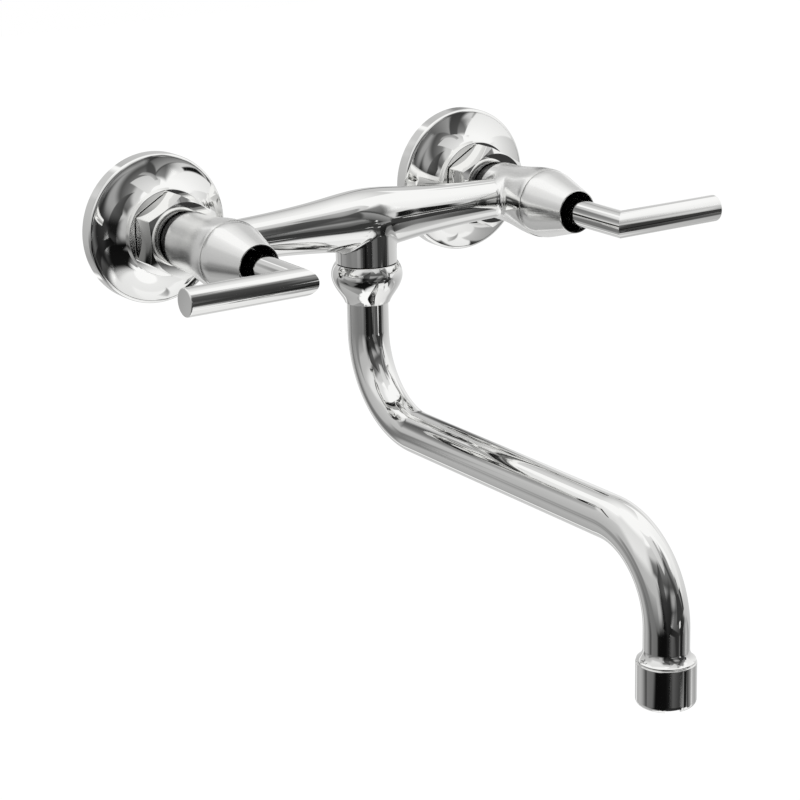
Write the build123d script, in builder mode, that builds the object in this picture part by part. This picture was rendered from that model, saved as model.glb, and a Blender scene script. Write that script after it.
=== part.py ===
"""Two-handle wall mixer tap with a swivelling swan-neck spout.

Millimetres, +Z up. The wall face is the plane y = 0 and the tap stands out of it towards -Y.
The origin lies on the wall face, midway between the two inlets. "Left" is the user's left, -X.
A name ending in _out is a distance out from the wall face, along -Y. Sizes of the spout whose
comment says "below the crossbar's axis" are depths, along -Z.
"""
import os

from build123d import *

# ---------------------------------------------------------------- driving sizes
inlet_spacing = 150.0        # centre to centre of the two wall inlets
body_reach = 44.0            # wall face to the crossbar's axis
lever_reach = 116.0          # wall face to the axis of the levers' outer arms
lever_length = 48.0          # valve axis to the tip of a lever
thread_clearance = 0.05      # radial, between a male and a female thread
running_clearance = 0.05     # radial, between turning parts that guide each other
turning_gap = 0.3            # between turning parts that do not guide each other
edge_break = 0.4             # small turned chamfers
groove_play = 0.1            # room on each side of a ring in its groove
hexagon_corner = 1.1547      # radius to a hexagon's corners over the radius to its flats

# Wall flange
flange_radius = 30.7
flange_rim_out = 6.5         # front of the flange's cylindrical rim
flange_edge_radius = 1.4     # rounding of the rim's front edge
flange_collar_radius = 17.9
flange_collar_length = 3.2
flange_wall = 1.0
flange_hollow = 1.15         # how far the bell's outline sags below a straight cone

# Threads, as plain cylinders on their major diameters
half_inch_thread = 10.48     # G1/2, radius
three_quarter_thread = 13.2  # G3/4, radius
leg_bore = 6.0
leg_behind_wall = 18.0       # how far the leg goes into the wall
leg_lead = 1.0               # length of the lead chamfer on the leg's end
leg_shoulder_out = 3.0       # where the G1/2 thread gives way to the G3/4 thread
leg_key_flats = 12.7         # hexagon socket for the fitting key
leg_key_depth = 7.2

# Union nut, washer and tail
nut_length = 12.5
nut_play = 0.6               # between the flange's collar and the nut
nut_hold = 5.2               # how far the nut screws on to the wall leg
nut_flats = 30.0
nut_back_outset = 1.05       # chamfer circle on the back face, outside the flats
nut_front_inset = 0.1        # chamfer circle on the front face, inside the flats
nut_chamfer_slope = 0.577    # 30 degree chamfers
nut_lip = 2.8                # shoulder that pulls on the tail
nut_lip_clearance = 0.3
nut_mouth_chamfer = 0.6
washer_thickness = 2.0
washer_margin = 1.0          # between the washer's hole and the key socket
tail_flange_play = 1.0       # radial, between the tail's flange and the nut's thread
tail_neck_radius = 10.6
tail_neck_length = 4.2       # bare neck between the union nut and the barrel
tail_thread_radius = 9.0
tail_thread_length = 5.4
tail_bore = 5.5

# Valve barrel
barrel_back_length = 11.0    # crossbar's axis to the barrel's back face
barrel_front_length = 22.3   # crossbar's axis to the barrel's front face
barrel_radius = 12.0
barrel_back_round = 1.5
flare_start = 5.0            # in front of the crossbar's axis
flare_sag = 0.8              # how far the flare's middle lies in front of its half-way point
belly_setback = 2.3          # the widest place, behind the front face
barrel_belly_radius = 14.35
barrel_mouth_radius = 14.1
chamber_radius = 10.0
port_radius = 5.0
seat_setback = 2.0           # valve seat, behind the crossbar's axis
gland_thread_depth = 0.45
gland_thread_length = 8.8

# Crossbar and tee
bar_middle_radius = 12.6
bar_shoulder_radius = 10.9
bar_shoulder_x = 20.0
bar_arm_radius = 9.0
bar_arm_x = 43.0
bar_end_radius = 8.05
bar_end_slope = 0.02
bar_bore = 5.0
bar_bore_reach = 2.5         # how far the bore runs into each valve chamber
tee_bore = 4.5
bar_blend = 2.5              # cast fillet where the crossbar meets the barrels
neck_step = 1.0              # radial, from the neck's thread to the neck
neck_drop = 5.15             # from the underside of the crossbar's middle to the neck's end
neck_blend = 2.0
neck_wall = 3.05             # radial, between the spigot's socket and the neck's thread
neck_thread_length = 7.25
spigot_socket_depth = 13.5

# Cartridge
seat_washer_thickness = 2.5
seat_washer_play = 0.2       # radial, between the washer and the sleeve
sleeve_overlap = 0.5         # how far the washer reaches into the sleeve
sleeve_inner = 7.2
sleeve_wall = 1.4
gland_floor = 1.0            # how far the sleeve's floor lies behind the gland's thread
gland_relief = 0.6
disc_thickness = 3.4
disc_clearance = 0.1         # radial, fixed disc in the sleeve
disc_port_width = 2.2
disc_port_angle = 62.0
window_width = 8.0
window_height = 5.0
spindle_radius = 4.0
driver_play = 0.6            # radial, between the spindle's driver and the sleeve
spindle_driver_thickness = 4.0
tongue_width = 2.6
tongue_length = 10.0
tongue_depth = 1.2
tongue_play = 0.1
gland_collar_length = 4.6
gland_collar_wall = 1.55     # radial, from the gland's thread to its collar
gland_hex_length = 4.0
gland_hex_play = 1.94        # radial, between the hexagon's corners and the bonnet
oring_section = 0.64         # radius of the spindle O-ring's section
oring_squeeze = 0.02
oring_setback = 4.3          # spindle O-ring, behind the barrel's front face
circlip_thickness = 0.8
circlip_width = 2.0          # how far the circlip stands out of the spindle
circlip_groove_depth = 0.6
spindle_land = 1.0           # full diameter left in front of the circlip
spindle_end_step = 0.4       # radial
spindle_end_reach = 10.0     # spindle's end, in front of the bonnet's rim
spindle_flat_depth = 0.7

# Bonnet
seam_gap = 0.3
seam_step = 0.05             # how much smaller the bonnet is than the barrel at the seam
bonnet_length = 20.4
bonnet_shoulder_length = 4.6
bonnet_shoulder_radius = 13.35
bonnet_recess = 3.0          # open ring round the lever
bonnet_rim_width = 0.55
bonnet_rim_round = 0.4
bonnet_bore_depth = 3.0
bonnet_wall = 1.6
bonnet_edge = 0.3
bonnet_taper_length = 3.0    # where the inside turns from the shoulder to the cone
bonnet_taper = 1.0

# Lever
lever_rod_radius = 5.45
lever_tuck = 8.5             # lever's back end, behind the bonnet's rim
lever_socket_clearance = 0.05
lever_socket_play = 0.5      # left beyond the spindle's end
lever_tip_round = 0.5
grub_radius = 2.0
grub_setback = 5.0           # grub screw, in front of the bonnet's rim
grub_key_flats = 2.0
grub_sink = 0.2              # grub screw's head, below the lever's surface

# Spout
spout_radius = 8.5
spout_wall = 1.0
spout_drop = 46.0            # start of the first bend, below the crossbar's axis
first_bend = 35.9
spout_run = 125.4            # straight length between the bends
second_bend = 33.05
outlet_drop = 9.65           # straight length below the second bend
spigot_step = 0.1            # radial, from the tube to the spigot
spigot_bore = 6.0
spigot_lead = 0.5
spigot_lead_length = 0.8
spigot_end_play = 0.5        # left above the spigot's end
spigot_shoulder_width = 1.8  # how far the shoulder stands out of the tube
spigot_shoulder_thickness = 2.0
spigot_socket = 1.5          # depth of the tube's brazed joint
spout_oring_section = 0.9
spout_oring_setback = 4.5    # lower O-ring, above the neck's end
spout_oring_pitch = 5.0
slip_ring_thickness = 0.6
thrust_ring_thickness = 0.8
ring_gap = 0.1               # axial, between the spigot's shoulder and each ring
ring_play = 0.1              # radial, between the rings and the nut's thread

# Spout nut, each radius counted from the piece that it covers
spout_nut_crown = 0.55       # from the neck to the nut's top edge
spout_nut_swell = 2.1        # from the neck to the nut's belly
spout_nut_belly_drop = 4.65  # from the nut's top edge down to its belly
spout_nut_waist_wall = 0.4   # from the neck's thread to the nut's waist
spout_nut_waist_drop = 11.85
spout_nut_foot = 0.8         # from the tube to the nut's bottom edge
spout_nut_length = 16.55

# Outlet and aerator
collar_lap = 1.9             # how far the outlet collar runs up the tube
collar_foot = 0.9            # small hollow curve where the collar leaves the tube
collar_foot_length = 1.2
collar_foot_radius = 1.6
collar_cone = 2.8
collar_band = 1.5
collar_step = 0.3            # radial, from the collar to the aerator
outlet_thread_length = 6.0
aerator_radius = 11.1
aerator_length = 16.6
aerator_wall = 1.1
aerator_top_chamfer = 0.5
aerator_bottom_round = 2.2
aerator_lip = 1.35           # how far the shell's lip reaches in
aerator_lip_thickness = 2.4
coin_slot_width = 5.8
coin_slot_depth = 2.6
coin_slot_turn = -24.0       # where the slot ends up when the shell is screwed home
aerator_seal_thickness = 1.8
aerator_seal_width = 2.75
insert_wall = 1.5
insert_clearance = 0.1
insert_sink = 1.6            # insert's face, above the shell's lower edge
honeycomb_thickness = 2.0
honeycomb_pitch = 2.5
honeycomb_web = 0.5
strainer_thickness = 0.8
strainer_pitch = 2.2
strainer_web = 0.7

# ---------------------------------------------------------------- derived sizes and places
left_x = -inlet_spacing / 2
valve_axis = Axis((left_x, 0, 0), (0, 1, 0))
valve_plane = Plane(origin=(left_x, 0, 0), x_dir=(1, 0, 0), z_dir=(0, 0, 1))
right_valve_axis = Axis((-left_x, 0, 0), (0, 1, 0))
right_valve_plane = Plane(origin=(-left_x, 0, 0), x_dir=(1, 0, 0), z_dir=(0, 0, 1))
to_right = Location((inlet_spacing, 0, 0))
bar_axis = Axis((0, -body_reach, 0), (1, 0, 0))
bar_plane = Plane(origin=(0, -body_reach, 0), x_dir=(1, 0, 0), z_dir=(0, 0, 1))
tee_axis = Axis((0, -body_reach, 0), (0, 0, 1))
tee_plane = Plane(origin=(0, -body_reach, 0), x_dir=(1, 0, 0), z_dir=(0, -1, 0))
outlet_y = -(body_reach + first_bend + spout_run + second_bend)
outlet_axis = Axis((0, outlet_y, 0), (0, 0, 1))
outlet_plane = Plane(origin=(0, outlet_y, 0), x_dir=(1, 0, 0), z_dir=(0, -1, 0))

barrel_back_out = body_reach - barrel_back_length
barrel_front_out = body_reach + barrel_front_length
barrel_flare_start_out = body_reach + flare_start
barrel_belly_out = barrel_front_out - belly_setback
nut_front_out = barrel_back_out - tail_neck_length
nut_back_out = nut_front_out - nut_length
nut_shoulder_out = nut_front_out - nut_lip
nut_bore = tail_neck_radius + nut_lip_clearance
nut_back_round = nut_flats / 2 + nut_back_outset
nut_front_round = nut_flats / 2 - nut_front_inset
nut_corner = nut_flats / 2 * hexagon_corner + edge_break
leg_front_out = nut_back_out + nut_hold
tail_front_out = leg_front_out + washer_thickness
tail_flange_radius = three_quarter_thread - tail_flange_play
flange_front_out = nut_back_out - nut_play
flange_collar_out = flange_front_out - flange_collar_length
bar_fillet = min(bar_blend, barrel_back_length - bar_end_radius - edge_break)

seat_out = body_reach - seat_setback
sleeve_outer = sleeve_inner + sleeve_wall
sleeve_back_out = seat_out + seat_washer_thickness - sleeve_overlap
fixed_disc_out = seat_out + seat_washer_thickness
turning_disc_out = fixed_disc_out + disc_thickness + running_clearance
driver_out = turning_disc_out + disc_thickness
disc_port_radius = port_radius - disc_port_width / 2
gland_thread_radius = chamber_radius + gland_thread_depth
gland_thread_out = barrel_front_out - gland_thread_length
gland_floor_out = gland_thread_out + gland_floor
gland_collar_radius = gland_thread_radius + gland_collar_wall
collar_front_out = barrel_front_out + gland_collar_length
hex_front_out = collar_front_out + gland_hex_length
gland_hex_corner = bonnet_shoulder_radius - bonnet_wall - gland_hex_play
spindle_shaft_out = gland_floor_out - turning_gap
spindle_driver_radius = sleeve_inner - driver_play
spindle_bore = spindle_radius + running_clearance
spindle_groove = spindle_bore - oring_squeeze - 2 * oring_section
spindle_oring_out = barrel_front_out - oring_setback
spindle_end_radius = spindle_radius - spindle_end_step
circlip_out = hex_front_out + turning_gap
circlip_groove = spindle_radius - circlip_groove_depth
circlip_outer = spindle_radius + circlip_width
spindle_step_out = circlip_out + circlip_thickness + spindle_land

bonnet_back_out = barrel_front_out + seam_gap
bonnet_front_out = bonnet_back_out + bonnet_length
bonnet_shoulder_out = bonnet_back_out + bonnet_shoulder_length
bonnet_back_radius = barrel_mouth_radius - seam_step
bonnet_bore = lever_rod_radius + bonnet_recess
bonnet_rim_radius = bonnet_bore + bonnet_rim_width
bonnet_seat_radius = gland_collar_radius + thread_clearance
spindle_end_out = bonnet_front_out + spindle_end_reach
lever_back_out = bonnet_front_out - lever_tuck
grub_out = bonnet_front_out + grub_setback
grub_head = lever_rod_radius - grub_sink
grub_tip = spindle_end_radius - spindle_flat_depth

spigot_radius = spout_radius - spigot_step
spigot_socket_radius = spigot_radius + running_clearance
spigot_shoulder_radius = spout_radius + spigot_shoulder_width
neck_thread_radius = spigot_socket_radius + neck_wall
neck_radius = neck_thread_radius + neck_step
neck_bottom = bar_middle_radius + neck_drop
neck_thread_end = neck_bottom + neck_thread_length
socket_top = neck_thread_end - spigot_socket_depth
spigot_top = socket_top + spigot_end_play
slip_ring_bottom = neck_thread_end + slip_ring_thickness
shoulder_top = slip_ring_bottom + ring_gap
shoulder_bottom = shoulder_top + spigot_shoulder_thickness
thrust_ring_top = shoulder_bottom + ring_gap
thrust_ring_bottom = thrust_ring_top + thrust_ring_thickness
tube_top = shoulder_bottom - spigot_socket
spout_groove = spigot_socket_radius - oring_squeeze - 2 * spout_oring_section
spout_oring_low = neck_thread_end - spout_oring_setback
spout_oring_high = spout_oring_low - spout_oring_pitch
nut_thread_radius = neck_thread_radius + thread_clearance

spout_end = spout_drop + first_bend + second_bend + outlet_drop
outlet_cone_top = spout_end - collar_lap
outlet_cone_bottom = outlet_cone_top + collar_cone
outlet_collar_bottom = outlet_cone_bottom + collar_band
outlet_collar_radius = aerator_radius - collar_step
outlet_thread_radius = aerator_radius - aerator_wall - thread_clearance
outlet_thread_bottom = outlet_collar_bottom + outlet_thread_length
outlet_bore = spout_radius - spout_wall
aerator_bottom = outlet_collar_bottom + aerator_length
aerator_lip_top = aerator_bottom - aerator_lip_thickness
aerator_lip_bore = outlet_thread_radius - aerator_lip
aerator_seal_inner = outlet_thread_radius - aerator_seal_width
seal_bottom = outlet_thread_bottom + aerator_seal_thickness
insert_outer = outlet_thread_radius - insert_clearance
insert_face_radius = aerator_lip_bore - insert_clearance
insert_bottom = aerator_bottom - insert_sink
honeycomb_top = insert_bottom - honeycomb_thickness
strainer_bottom = seal_bottom + strainer_thickness


def out_plane(station):
    """Sketch plane square to the left valve axis, at a distance out from the wall, facing out."""
    return Plane(origin=(left_x, -station, 0), x_dir=(1, 0, 0), z_dir=(0, -1, 0))


def cells_inside(pitch, cell_width, reach):
    """Hexagonal grid places whose cells, of that width, lie wholly within a circle of radius reach."""
    rings = int(reach / pitch) * 2 + 1
    corner = cell_width / 2 * hexagon_corner
    grid = HexLocations(pitch / 2, rings, rings, major_radius=False).local_locations
    return [cell for cell in grid if cell.position.length + corner < reach]


# ---------------------------------------------------------------- inlets
with BuildPart() as wall_leg_left:
    with BuildSketch(valve_plane):
        with BuildLine():
            Polyline(
                (leg_bore, leg_behind_wall),
                (half_inch_thread - leg_lead / 2, leg_behind_wall),
                (half_inch_thread, leg_behind_wall - leg_lead),
                (half_inch_thread, -leg_shoulder_out),
                (three_quarter_thread - thread_clearance, -leg_shoulder_out),
                (three_quarter_thread - thread_clearance, -leg_front_out),
                (leg_bore, -leg_front_out),
                close=True,
            )
        make_face()
    revolve(axis=valve_axis)
    with BuildSketch(out_plane(leg_front_out)):
        RegularPolygon(leg_key_flats / 2, 6, major_radius=False)
    extrude(amount=-leg_key_depth, mode=Mode.SUBTRACT)

with BuildPart() as wall_flange_left:
    with BuildSketch(valve_plane):
        with BuildLine():
            rim_side = Line((flange_radius, 0), (flange_radius, -flange_rim_out + flange_edge_radius))
            rim_round = RadiusArc(
                rim_side @ 1,
                (flange_radius - flange_edge_radius, -flange_rim_out),
                flange_edge_radius,
            )
            bell_mid_r = (flange_radius - flange_edge_radius + flange_collar_radius) / 2
            bell_mid_out = (flange_rim_out + flange_collar_out) / 2 - flange_hollow
            bell = ThreePointArc(
                rim_round @ 1,
                (bell_mid_r, -bell_mid_out),
                (flange_collar_radius, -flange_collar_out),
            )
            collar_inner = flange_collar_radius - flange_wall
            Polyline(
                bell @ 1,
                (flange_collar_radius, -flange_front_out + edge_break),
                (flange_collar_radius - edge_break, -flange_front_out),
                (three_quarter_thread, -flange_front_out),
                (three_quarter_thread, -flange_front_out + flange_wall),
                (collar_inner, -flange_front_out + flange_wall),
                (collar_inner, -flange_collar_out + flange_wall),
            )
            inner_bell = ThreePointArc(
                (collar_inner, -flange_collar_out + flange_wall),
                (bell_mid_r - flange_wall / 2, -bell_mid_out + flange_wall),
                (flange_radius - flange_edge_radius, -flange_rim_out + flange_wall),
            )
            Polyline(
                inner_bell @ 1,
                (flange_radius - flange_wall, -flange_rim_out + flange_edge_radius),
                (flange_radius - flange_wall, 0),
                (flange_radius, 0),
            )
        make_face()
    revolve(axis=valve_axis)

with BuildPart() as union_nut_left:
    with BuildSketch(out_plane(nut_back_out)):
        RegularPolygon(nut_flats / 2, 6, major_radius=False, rotation=30)
    extrude(amount=nut_length)
    # the chamfers are turned on both ends of the hexagon bar
    with BuildSketch(valve_plane):
        with BuildLine():
            Polyline(
                (0, -nut_back_out),
                (nut_back_round, -nut_back_out),
                (nut_corner, -nut_back_out - (nut_corner - nut_back_round) * nut_chamfer_slope),
                (nut_corner, -nut_front_out + (nut_corner - nut_front_round) * nut_chamfer_slope),
                (nut_front_round, -nut_front_out),
                (0, -nut_front_out),
                close=True,
            )
        make_face()
    revolve(axis=valve_axis, mode=Mode.INTERSECT)
    with BuildSketch(valve_plane):
        with BuildLine():
            Polyline(
                (0, -nut_back_out),
                (three_quarter_thread, -nut_back_out),
                (three_quarter_thread, -nut_shoulder_out),
                (nut_bore, -nut_shoulder_out),
                (nut_bore, -nut_front_out + nut_mouth_chamfer),
                (nut_bore + nut_mouth_chamfer, -nut_front_out),
                (0, -nut_front_out),
                close=True,
            )
        make_face()
    revolve(axis=valve_axis, mode=Mode.SUBTRACT)

with BuildPart() as sealing_washer_left:
    with BuildSketch(out_plane(leg_front_out)):
        Circle(tail_flange_radius)
        Circle(leg_key_flats / 2 + washer_margin, mode=Mode.SUBTRACT)
    extrude(amount=washer_thickness)

with BuildPart() as inlet_tail_left:
    with BuildSketch(valve_plane):
        with BuildLine():
            Polyline(
                (tail_bore, -tail_front_out),
                (tail_flange_radius, -tail_front_out),
                (tail_flange_radius, -nut_shoulder_out),
                (tail_neck_radius, -nut_shoulder_out),
                (tail_neck_radius, -barrel_back_out),
                (tail_thread_radius, -barrel_back_out),
                (tail_thread_radius, -barrel_back_out - tail_thread_length),
                (tail_bore, -barrel_back_out - tail_thread_length),
                close=True,
            )
        make_face()
    revolve(axis=valve_axis)

# ---------------------------------------------------------------- mixer body casting
with BuildPart() as mixer_body:
    with BuildSketch(valve_plane):
        with BuildLine():
            back_face = Line((0, -barrel_back_out), (barrel_radius - barrel_back_round, -barrel_back_out))
            back_round = RadiusArc(
                back_face @ 1,
                (barrel_radius, -barrel_back_out - barrel_back_round),
                barrel_back_round,
            )
            barrel_side = Line(back_round @ 1, (barrel_radius, -barrel_flare_start_out))
            flare = Spline(
                barrel_side @ 1,
                (
                    (barrel_radius + barrel_belly_radius) / 2,
                    -(barrel_flare_start_out + barrel_belly_out) / 2 + flare_sag,
                ),
                (barrel_belly_radius, -barrel_belly_out),
                tangents=((0, -1), (0, -1)),
            )
            belly = TangentArc(flare @ 1, (barrel_mouth_radius, -barrel_front_out), tangent=(0, -1))
            Polyline(belly @ 1, (0, -barrel_front_out), (0, -barrel_back_out))
        make_face()
    revolve(axis=valve_axis)
    mirror(about=Plane.YZ)

    with BuildSketch(bar_plane):
        with BuildLine():
            bar_half = inlet_spacing / 2 - port_radius
            bar_outline = Spline(
                (-bar_half, bar_end_radius),
                (-bar_arm_x, bar_arm_radius),
                (-bar_shoulder_x, bar_shoulder_radius),
                (0, bar_middle_radius),
                (bar_shoulder_x, bar_shoulder_radius),
                (bar_arm_x, bar_arm_radius),
                (bar_half, bar_end_radius),
                tangents=((1, bar_end_slope), (1, -bar_end_slope)),
            )
            Polyline(bar_outline @ 1, (bar_half, 0), (-bar_half, 0), (-bar_half, bar_end_radius))
        make_face()
    revolve(axis=bar_axis)
    fillet(mixer_body.edges(Select.NEW), radius=bar_fillet)

    with BuildSketch(Plane.XY.offset(-neck_bottom)):
        with Locations((0, -body_reach)):
            Circle(neck_radius)
    extrude(amount=neck_bottom)
    fillet(mixer_body.edges(Select.NEW), radius=neck_blend)
    with BuildSketch(Plane.XY.offset(-neck_thread_end)):
        with Locations((0, -body_reach)):
            Circle(neck_thread_radius)
    extrude(amount=neck_thread_length)

    # waterways: inlet sockets and valve chambers, the crossbar's bore, and the tee down to the spout
    with BuildSketch(valve_plane) as waterway:
        with BuildLine():
            Polyline(
                (0, -barrel_back_out),
                (tail_thread_radius + thread_clearance, -barrel_back_out),
                (tail_thread_radius + thread_clearance, -barrel_back_out - tail_thread_length),
                (port_radius, -barrel_back_out - tail_thread_length),
                (port_radius, -seat_out),
                (chamber_radius, -seat_out),
                (chamber_radius, -gland_thread_out),
                (gland_thread_radius, -gland_thread_out),
                (gland_thread_radius, -barrel_front_out + edge_break),
                (gland_thread_radius + edge_break, -barrel_front_out),
                (0, -barrel_front_out),
                close=True,
            )
        make_face()
    revolve(axis=valve_axis, mode=Mode.SUBTRACT)
    with BuildSketch(right_valve_plane):
        add(waterway.sketch_local)
    revolve(axis=right_valve_axis, mode=Mode.SUBTRACT)
    bar_bore_length = inlet_spacing - 2 * (chamber_radius - bar_bore_reach)
    with BuildSketch(Plane.YZ.offset(-bar_bore_length / 2)):
        with Locations((-body_reach, 0)):
            Circle(bar_bore)
    extrude(amount=bar_bore_length, mode=Mode.SUBTRACT)
    with BuildSketch(tee_plane):
        with BuildLine():
            Polyline(
                (0, 0),
                (tee_bore, 0),
                (tee_bore, -socket_top),
                (spigot_socket_radius, -socket_top),
                (spigot_socket_radius, -neck_thread_end + edge_break),
                (spigot_socket_radius + edge_break, -neck_thread_end),
                (0, -neck_thread_end),
                close=True,
            )
        make_face()
    revolve(axis=tee_axis, mode=Mode.SUBTRACT)

# ---------------------------------------------------------------- valve cartridge
with BuildPart() as seat_washer_left:
    with BuildSketch(out_plane(seat_out)):
        Circle(sleeve_inner - seat_washer_play)
        Circle(port_radius, mode=Mode.SUBTRACT)
    extrude(amount=seat_washer_thickness)

with BuildPart() as gland_body_left:
    with BuildSketch(valve_plane):
        with BuildLine():
            Polyline(
                (sleeve_inner, -sleeve_back_out),
                (sleeve_outer, -sleeve_back_out),
                (sleeve_outer, -gland_thread_out - gland_relief),
                (gland_thread_radius - thread_clearance, -gland_thread_out - gland_relief),
                (gland_thread_radius - thread_clearance, -barrel_front_out),
                (gland_collar_radius, -barrel_front_out),
                (gland_collar_radius, -collar_front_out),
                (spindle_bore, -collar_front_out),
                (spindle_bore, -gland_floor_out),
                (sleeve_inner, -gland_floor_out),
                close=True,
            )
        make_face()
    revolve(axis=valve_axis)
    with BuildSketch(out_plane(collar_front_out)):
        RegularPolygon(gland_hex_corner, 6)
        Circle(spindle_bore, mode=Mode.SUBTRACT)
    extrude(amount=gland_hex_length)
    # two windows let the water out of the sleeve into the valve chamber
    with BuildSketch(Plane(origin=(left_x, -driver_out - window_height / 2, 0), z_dir=(1, 0, 0))):
        Rectangle(window_height, window_width)
    extrude(amount=chamber_radius, both=True, mode=Mode.SUBTRACT)

with BuildPart() as fixed_disc_left:
    with BuildSketch(out_plane(fixed_disc_out)):
        Circle(sleeve_inner - disc_clearance)
        with PolarLocations(0, 2):
            SlotArc(
                CenterArc((0, 0), disc_port_radius, -disc_port_angle / 2, disc_port_angle),
                disc_port_width,
                mode=Mode.SUBTRACT,
            )
    extrude(amount=disc_thickness)

with BuildPart() as turning_disc_left:
    with BuildSketch(out_plane(turning_disc_out)):
        Circle(sleeve_inner - turning_gap)
        with PolarLocations(0, 2, start_angle=90):
            SlotArc(
                CenterArc((0, 0), disc_port_radius, -disc_port_angle / 2, disc_port_angle),
                disc_port_width,
                mode=Mode.SUBTRACT,
            )
    extrude(amount=disc_thickness)
    with BuildSketch(out_plane(driver_out)):
        Rectangle(tongue_length, tongue_width)
    extrude(amount=-tongue_depth, mode=Mode.SUBTRACT)

with BuildPart() as spindle_left:
    # a tongue at the back drives the turning disc, a flat at the front takes the lever's grub screw
    with BuildSketch(out_plane(driver_out)):
        Rectangle(2 * spindle_driver_radius, spindle_driver_thickness)
        Circle(spindle_driver_radius, mode=Mode.INTERSECT)
    extrude(amount=spindle_shaft_out - driver_out)
    with BuildSketch(out_plane(driver_out)):
        Rectangle(tongue_length - 2 * tongue_play, tongue_width - 2 * tongue_play)
    extrude(amount=-tongue_depth + tongue_play)
    with BuildSketch(out_plane(spindle_shaft_out)):
        Circle(spindle_radius)
    extrude(amount=spindle_step_out - spindle_shaft_out)
    with BuildSketch(out_plane(spindle_step_out)):
        Circle(spindle_end_radius)
        with Locations((0, -spindle_end_radius)):
            Rectangle(2 * spindle_end_radius, 2 * spindle_flat_depth, mode=Mode.SUBTRACT)
    extrude(amount=spindle_end_out - spindle_step_out)
    with BuildSketch(valve_plane):
        with BuildLine():
            oring_back = spindle_oring_out - oring_section - groove_play
            oring_front = spindle_oring_out + oring_section + groove_play
            Polyline(
                (spindle_groove, -oring_back),
                (spindle_bore, -oring_back),
                (spindle_bore, -oring_front),
                (spindle_groove, -oring_front),
                close=True,
            )
        make_face()
        with BuildLine():
            circlip_front = circlip_out + circlip_thickness
            Polyline(
                (circlip_groove, -circlip_out),
                (spindle_bore, -circlip_out),
                (spindle_bore, -circlip_front),
                (circlip_groove, -circlip_front),
                close=True,
            )
        make_face()
    revolve(axis=valve_axis, mode=Mode.SUBTRACT)

with BuildPart() as spindle_oring_left:
    with BuildSketch(valve_plane):
        with Locations((spindle_groove + oring_section, -spindle_oring_out)):
            Circle(oring_section)
    revolve(axis=valve_axis)

with BuildPart() as circlip_left:
    with BuildSketch(out_plane(circlip_out)):
        Circle(circlip_outer)
        Circle(circlip_groove, mode=Mode.SUBTRACT)
        with Locations((0, circlip_outer)):
            Rectangle(spindle_radius, 2 * circlip_outer, mode=Mode.SUBTRACT)
    extrude(amount=circlip_thickness)

# ---------------------------------------------------------------- bonnet and lever
with BuildPart() as bonnet_left:
    with BuildSketch(valve_plane):
        with BuildLine():
            back_edge = Line(
                (bonnet_seat_radius, -bonnet_back_out),
                (bonnet_back_radius - bonnet_edge, -bonnet_back_out),
            )
            back_corner = Line(back_edge @ 1, (bonnet_back_radius, -bonnet_back_out - bonnet_edge))
            cone_direction = (
                bonnet_rim_radius - bonnet_shoulder_radius,
                bonnet_shoulder_out - bonnet_front_out,
            )
            shoulder = Spline(
                back_corner @ 1,
                (bonnet_shoulder_radius, -bonnet_shoulder_out),
                tangents=((0, -1), cone_direction),
            )
            cone = Line(shoulder @ 1, (bonnet_rim_radius, -bonnet_front_out + bonnet_rim_round))
            shoulder_inner = bonnet_shoulder_radius - bonnet_wall
            Polyline(
                cone @ 1,
                (bonnet_rim_radius - bonnet_rim_round / 2, -bonnet_front_out),
                (bonnet_bore, -bonnet_front_out),
                (bonnet_bore, -bonnet_front_out + bonnet_bore_depth),
                (shoulder_inner - bonnet_taper, -bonnet_shoulder_out - bonnet_taper_length),
                (shoulder_inner, -bonnet_shoulder_out),
                (bonnet_seat_radius, -collar_front_out),
                (bonnet_seat_radius, -bonnet_back_out),
            )
        make_face()
    revolve(axis=valve_axis)

with BuildPart() as lever_left:
    with BuildLine() as lever_path:
        Polyline(
            (left_x, -lever_back_out, 0),
            (left_x, -lever_reach, 0),
            (left_x - lever_length, -lever_reach, 0),
        )
    with BuildSketch(out_plane(lever_back_out)):
        Circle(lever_rod_radius)
    sweep(path=lever_path.line, transition=Transition.RIGHT)
    fillet(lever_left.edges().filter_by(GeomType.CIRCLE).group_by(Axis.X)[0], radius=lever_tip_round)
    # blind socket for the spindle's end, and the tapped hole of the grub screw
    with BuildSketch(out_plane(lever_back_out)):
        Circle(spindle_end_radius + lever_socket_clearance)
    extrude(amount=spindle_end_out + lever_socket_play - lever_back_out, mode=Mode.SUBTRACT)
    with BuildSketch(Plane.XY.offset(-lever_rod_radius)):
        with Locations((left_x, -grub_out)):
            Circle(grub_radius)
    extrude(amount=lever_rod_radius, mode=Mode.SUBTRACT)

with BuildPart() as lever_screw_left:
    with BuildSketch(Plane.XY.offset(-grub_head)):
        with Locations((left_x, -grub_out)):
            Circle(grub_radius)
    extrude(amount=grub_head - grub_tip)
    with BuildSketch(Plane.XY.offset(-grub_head)):
        with Locations((left_x, -grub_out)):
            RegularPolygon(grub_key_flats / 2, 6, major_radius=False)
    extrude(amount=(grub_head - grub_tip) / 2, mode=Mode.SUBTRACT)

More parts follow.
